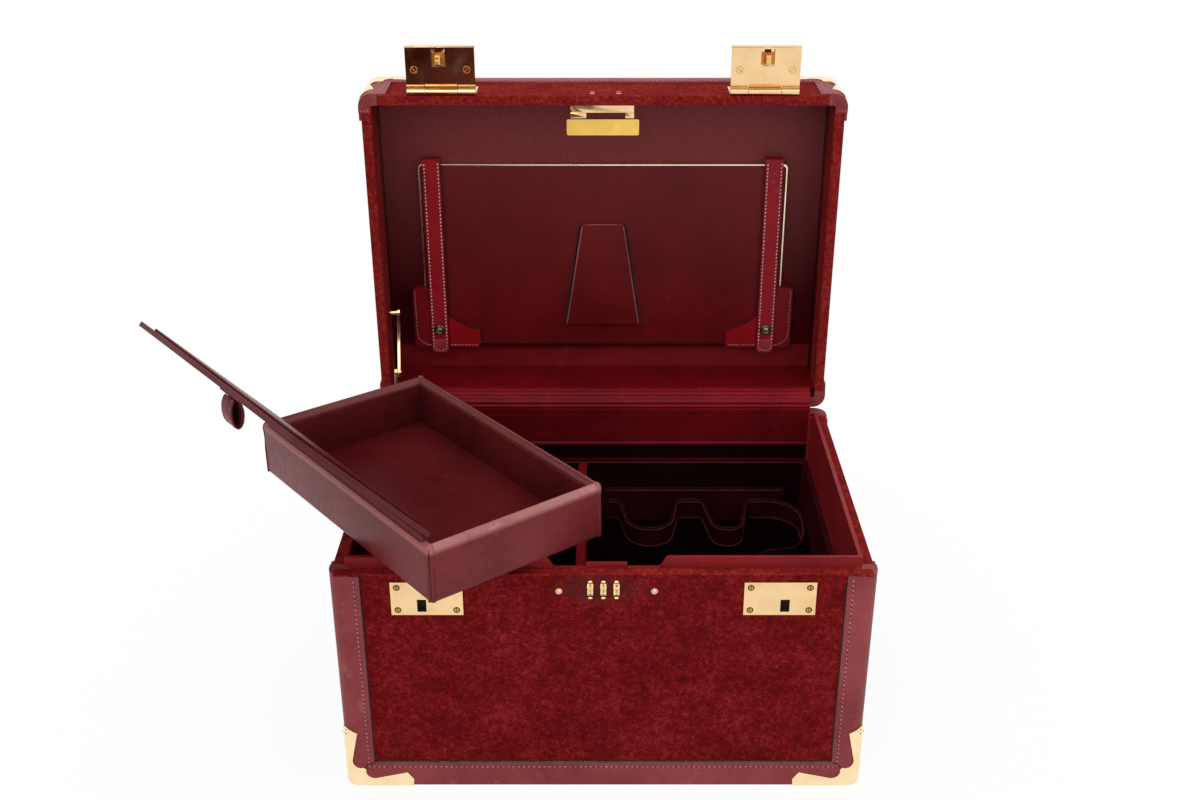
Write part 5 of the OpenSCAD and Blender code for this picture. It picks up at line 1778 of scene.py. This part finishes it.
@dataclass
class Tray:
    """The lift-out tray: a leather box with soft rails, a lining and a lid."""

    plan: Plan = PLAN
    size: Point = (123.4, 206.0, 37.4)
    wall: float = 4.0
    floor_t: float = 3.0
    corner: float = 4.0
    rail: float = 3.7
    lining_t: float = 2.0
    lining_top: float = 32.3
    lid_size: Point = (114.2, 196.8, 3.0)
    pad_t: float = 1.6
    pad_in: float = 6.0
    welt_rows: Sequence[Point] = ((0.8, 2.3, 1.25), (2.3, 0.8, 1.25), (1.1, 1.1, 0.35))
    loop: Tuple[float, float, float, float] = (3.6, 17.2, 0.65, 6.2)
    loop_in: float = 20.0
    flap_line: Sequence[Pair] = ((-60.6, 37.3), (-59.6, 37.9), (-58.9, 38.9), (-59.1, 40.4),
                                 (-60.0, 42.0))
    flap_t: float = 0.7
    flap_ends: Pair = (38.0, 41.8)
    flap_spans: int = 24
    top: float = 37.0

    def build(self) -> None:
        """Builds the tray and its lid."""
        self.shell()
        self.liner()
        self.cover()
        self.pad()
        self.flap()
        self.welts()
        self.edging()
        self.pull()

    def shell(self) -> None:
        """The outer box with soft top rails."""
        w, d, h = self.size
        shape = Shape(self.plan.tray)
        verts = shape.slab(self.size, (0, 0, h / 2), self.corner, 5)
        shape.hollow(verts, self.wall, h - self.floor_t)
        x, y = (v / 2 - self.wall + 0.1 for v in (w, d))

        def outer(e: bmesh.types.BMEdge) -> bool:
            """Whether an edge runs round the outside, at the top or the bottom."""
            a, b = (v.co / MM for v in e.verts)
            return abs(a.z - b.z) < 0.01 and any(abs(v.x) > x or abs(v.y) > y for v in (a, b))

        shape.round_edges(self.rail, 8, 50.0, outer)
        # Its finish paints the rail tops pale as a highlight.
        shape.build("tray_box", TRAY_RAILS, Body.TRAY, Slot.LEATHER, ["tray_shell"], 50.0)

    def welts(self) -> None:
        """Folded seams that stand up at the box's corners, with a dark cord of painted shadow
        between them.
        """
        w, d, h = self.size
        shape, grooves = Shape(self.plan.tray), Shape(self.plan.tray)
        over = ((0.0, 0.0), (0.5, 1.8), (1.5, 3.0), (2.9, 3.5))
        for sx, sy, (a, b, radius) in product(SIDES, SIDES, self.welt_rows):
            x, y = sx * (w / 2 - a), sy * (d / 2 - b)
            lean_x, lean_y = sx * (1.0 if a <= b else 0.3), sy * (1.0 if b <= a else 0.3)
            line = [(x, y, 1.6), (x, y, h / 2)]
            line += [(x - lean_x * q, y - lean_y * q, h - 3.6 + u) for q, u in over]
            # The thin cords are painted shadow in the groove between the welts.
            (shape if radius > 1 else grooves).tube(line, radius)
        shape.build("tray_welts", TRAY_RAILS, Body.TRAY, Slot.LEATHER)
        grooves.build("tray_welt_grooves", SHADOW, Body.TRAY, Slot.LEATHER)

    def edging(self) -> None:
        """Rolled edges on the two far walls with painted shadow in the grooves beside them, and a
        pale strip painted as the near rail's highlight.
        """
        w, d, h = self.size
        rolls, grooves = Shape(self.plan.tray), Shape(self.plan.tray)
        for out, high, radius, shape in ((self.wall - 0.5, h - 0.35, 0.6, rolls),
                                         (self.wall - 1.45, h - 0.72, 0.42, grooves),
                                         (1.55, h - 1.15, 0.7, rolls)):
            x, y = w / 2 - out, d / 2 - out
            shape.tube([(-w / 2 + 6.0, y, high), (x, y, high), (x, -d / 2 + 5.0, high)], radius)
        shine, r = Shape(self.plan.tray), self.rail
        outer, inner = (arc((r - d / 2, h - r), (reach, reach), range(168, 95, -8))
                        for reach in (r + 0.12, r - 0.3))
        shine.sweep(outer + inner[::-1], [across(-w / 2 + 4.6), across(w / 2 - 4.2)])
        shine.build("tray_rail_shine", RAIL_SHINE, Body.TRAY, Slot.LEATHER, sharp=60.0)
        rolls.build("tray_edge_rolls", TRAY_HIDE, Body.TRAY, Slot.LEATHER)
        grooves.build("tray_edge_grooves", SHADOW, Body.TRAY, Slot.LEATHER)

    def liner(self) -> None:
        """The darker lining inside: a floor and four walls with soft tops."""
        w, d, _ = self.size
        x, y, t, top = w / 2 - self.wall, d / 2 - self.wall, self.lining_t, self.lining_top
        floor, walls = Shape(self.plan.tray), Shape(self.plan.tray)
        low = self.floor_t
        floor.box((-x + 0.5, -y + 0.5, low), (x - 0.5, y - 0.5, low + 1.2))
        for side in SIDES:
            walls.box((side * x, -y, low), (side * (x - t), y, top))
            walls.box((-x + t / 2, side * y, low), (x - t / 2, side * (y - t), top - 0.05))
        walls.round_edges(0.5, 2, 50.0)
        floor.build("tray_liner", TRAY_LINING, Body.TRAY, Slot.DARK_LEATHER, ["tray_lining"])
        walls.build("tray_liner_walls", TRAY_WALLS, Body.TRAY, Slot.DARK_LEATHER)

    def cover(self) -> None:
        """The lid's stiff leather cover."""
        dress("tray_lid", LID_HIDE, Body.TRAY_LID, 1.1, 4)

    def pad(self) -> None:
        """The thin pad inside the lid, with softened edges."""
        w, d, t = self.lid_size
        under = self.top - t
        shape = Shape(self.plan.tray_lid)
        shape.slab((w - 2 * self.pad_in, d - 2 * self.pad_in, self.pad_t),
                   (0, 0, under - self.pad_t / 2), self.corner, 5)
        shape.round_edges(0.75, 3, 50.0)
        piece = shape.build("tray_lid_cushion", TRAY_WALLS, Body.TRAY_LID, Slot.DARK_LEATHER,
                            ["tray_lid_pad"])

    def pull(self) -> None:
        """The sewn pull loop near the lid's free edge, with a dark sheet of painted shade inside
        it.
        """
        base = self.plan.tray_lid @ shift(self.lid_size[0] / 2 - self.loop_in, 0, self.top)
        place = base @ shift(0, 0, 1.2) @ turn(self.plan.tray_open - 180.0, "Y")
        half, tall, thick, wide = self.loop

        def ring(out: float) -> List[Pair]:
            """The loop's outline, a distance outside its middle line."""
            return arc((0, tall / 2), (half + out, tall / 2 + out), range(-80, 261, 10))

        band, core, tab = Shape(place), Shape(place), Shape(base)
        band.sweep(ring(thick) + ring(-thick)[::-1], [along(v) for v in (-wide, 0, wide)])
        band.round_edges(0.35, 2, 60.0)
        band.build("pull_loop", TRAY_HIDE, Body.TRAY_LID, Slot.LEATHER, ["tray_loop"])
        # Painted shade: a dark sheet that closes the loop's hollow.
        core.sweep(ring(-thick - 0.02), [along(v) for v in (wide - 3.0, wide - 1.0)])
        core.build("pull_loop_core", SHADOW, Body.TRAY_LID, Slot.DARK_LEATHER)
        tab.slab((9.0, 2 * wide, 1.2), (1.5, 0, 0.6), 1.0, 3)
        tab.round_edges(0.4, 2, 60.0)
        tab.build("pull_loop_tab", TRAY_HIDE, Body.TRAY_LID, Slot.LEATHER)
        sewing = Stitching(place, pitch=2.4, length=1.7, thick=0.6)
        for v in (-wide + 1.3, wide - 1.3):
            sewing.row([(x, v, z) for x, z in ring(thick)], slant=0.0)
        sewing.build("pull_loop_stitches", Body.TRAY_LID)

    def flap(self) -> None:
        """The leather that joins the rail and the lid."""
        half, line = self.lid_size[1] / 2 - 4, list(self.flap_line)
        other = [(x - self.flap_t, z + 0.2) for x, z in reversed(line)]
        frames = [self.plan.tray @ along(half - 2 * half * k / self.flap_spans)
                  for k in range(self.flap_spans + 1)]
        shape = Shape()
        shape.sweep(line + other, frames)
        piece = shape.build("tray_hinge_flap", TRAY_HIDE, None, Slot.LEATHER)
        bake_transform(piece)


@dataclass
class Studio:
    """Floor, lights, world and camera."""

    lens: float = 42.27
    camera_at: Point = (-2.01, -831.9, 607.2)
    pitch: float = 25.917
    shift_y: float = 0.0184
    floor_half: float = 6.0
    ambient: float = 0.5
    shade_near: float = 0.2
    shade_far: float = 0.5
    glow_near: float = 0.93
    card_at: Point = (-0.56, -1.85, 0.002)
    card_half: Pair = (0.48, 0.9)
    aim: Point = (0.0, 0.0, 0.15)
    lamps: Sequence[Tuple[str, Point, float, float]] = (
        ("key", (-0.9, -1.6, 1.7), 1.6, 16.0), ("fill", (1.3, -1.3, 1.3), 1.6, 10.0),
        ("top", (0.0, 0.3, 2.1), 2.0, 16.0))

    def build(self) -> None:
        """Sets the stage."""
        self.floor()
        self.world()
        for row in self.lamps:
            self.lamp(*row)
        self.card()
        self.camera()

    def floor(self) -> None:
        """A pale floor that runs off to white."""
        floor, n = self.sheet("floor", "white_sweep", (0.0, 0.0, 0.0),
                              (self.floor_half, self.floor_half))
        shader = n.add("BsdfPrincipled", Roughness=0.9)
        shader.inputs["Specular IOR Level"].default_value = 0.1
        coordinates = n.add("TexCoord").outputs["Object"]
        tone = n.noise(coordinates, 3.0)
        n.feed(shader.inputs["Base Color"],
               n.mix(n.ramp(tone, 0.3, 0.7), linear("#f6f5f4"), linear("#f9f8f7")))
        glow = n.add("Emission", Color=(1.0, 1.0, 1.0), Strength=1.0)
        away = n.add("VectorMath", operation="LENGTH", Vector=coordinates).outputs["Value"]
        share = n.ramp(away, self.shade_near, self.shade_far, self.glow_near, 1.0)
        mix = n.add("MixShader", Fac=n.math("MULTIPLY", share, self.seen(n)))
        n.feed(mix.inputs[1], shader.outputs["BSDF"])
        n.feed(mix.inputs[2], glow.outputs["Emission"])
        out = n.add("OutputMaterial")
        n.feed(out.inputs["Surface"], mix.outputs["Shader"])

    @staticmethod
    def sheet(name: str, paint: str, place: Point, half: Pair) -> Tuple[bpy.types.Object, Nodes]:
        """A flat sheet with a new material.

        Args:
            name: The object's name.
            paint: The material's name.
            place: The sheet's middle, in metres.
            half: Its half-sizes along X and Y, in metres.

        Returns:
            The sheet, and a builder for its material.
        """
        mesh = bmesh.new()
        bmesh.ops.create_grid(mesh, x_segments=1, y_segments=1, size=1.0,
                              matrix=Matrix.Translation(place) @ Matrix.Diagonal((*half, 1.0, 1.0)))
        data = bpy.data.meshes.new(name)
        mesh.to_mesh(data)
        mesh.free()
        sheet = bpy.data.objects.new(name, data)
        bpy.context.scene.collection.objects.link(sheet)
        material = bpy.data.materials.new(paint)
        material.use_nodes = True
        data.materials.append(material)
        return sheet, Nodes(material.node_tree)

    @staticmethod
    def seen(nodes: Nodes) -> bpy.types.NodeSocket:
        """Tells what the camera sees, directly or by gloss or glass.

        Args:
            nodes: The builder that gets the nodes.

        Returns:
            1 where it looks, and 0 elsewhere.
        """
        path = nodes.add("LightPath")
        seen = nodes.math("MAXIMUM", path.outputs["Is Camera Ray"],
                          path.outputs["Is Glossy Ray"])
        return nodes.math("MAXIMUM", seen, path.outputs["Is Transmission Ray"])

    def world(self) -> None:
        """White to the camera and to gloss, softer as light."""
        world = bpy.data.worlds.new("studio")
        world.use_nodes = True
        bpy.context.scene.world = world
        n = Nodes(world.node_tree)
        light = n.add("Background", Color=(1.0, 1.0, 1.0), Strength=self.ambient)
        white = n.add("Background", Color=(1.0, 1.0, 1.0), Strength=1.0)
        mix = n.add("MixShader", Fac=self.seen(n))
        n.feed(mix.inputs[1], light.outputs[0])
        n.feed(mix.inputs[2], white.outputs[0])
        out = n.add("OutputWorld")
        n.feed(out.inputs["Surface"], mix.outputs[0])

    def card(self) -> None:
        """A dark glowing card on the floor behind the camera, seen only by gloss: a painted dark
        reflection in the left hasp.
        """
        card, n = self.sheet("dark_card", "dark_card", self.card_at, self.card_half)
        tone = n.noise(n.add("TexCoord").outputs["Object"], 7.0, 2.0)
        colour = n.mix(n.ramp(tone, 0.42, 0.6), linear("#280e0c"), linear("#56322c"))
        glow = n.add("Emission", Color=colour, Strength=1.0)
        out = n.add("OutputMaterial")
        n.feed(out.inputs["Surface"], glow.outputs["Emission"])
        card.visible_camera = card.visible_shadow = card.visible_diffuse = False

    def lamp(self, name: str, place: Point, size: float, power: float) -> None:
        """A square softbox that looks at the case.

        Args:
            name: The lamp's name.
            place: Where it stands, in metres.
            size: Its side, in metres.
            power: Its power, in watts.
        """
        data = bpy.data.lights.new(name, "AREA")
        data.size = size
        data.energy = power
        lamp = bpy.data.objects.new(name, data)
        lamp.location = place
        aim = Vector(self.aim) - Vector(place)
        lamp.rotation_euler = aim.to_track_quat("-Z", "Y").to_euler()
        bpy.context.scene.collection.objects.link(lamp)

    def camera(self) -> None:
        """The photograph's view."""
        data = bpy.data.cameras.new("camera")
        data.lens = self.lens
        data.sensor_width = 36.0
        data.shift_y = self.shift_y
        data.clip_start = 0.01
        camera = bpy.data.objects.new("camera", data)
        camera.location = at(*self.camera_at)
        camera.rotation_euler = (math.radians(90 - self.pitch), 0, 0)
        bpy.context.scene.collection.objects.link(camera)
        bpy.context.scene.camera = camera


def main() -> None:
    """Builds the sub-assemblies in order and logs each one."""
    logging.basicConfig(level=logging.INFO)
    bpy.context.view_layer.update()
    bpy.context.scene.view_settings.view_transform = "Standard"
    Studio().build()
    hasps = (Hasp(-1, "left", Body.HASP_LEFT, Body.HOOK_LEFT),
             Hasp(1, "right", Body.HASP_RIGHT, Body.HOOK_RIGHT))
    for part in (BaseCase(), Hardware(), Gusset(), Lid(), *hasps, Handle(), Tray()):
        part.build()
        log.info("built %s", type(part).__name__)


if __name__ == "__main__":
    main()
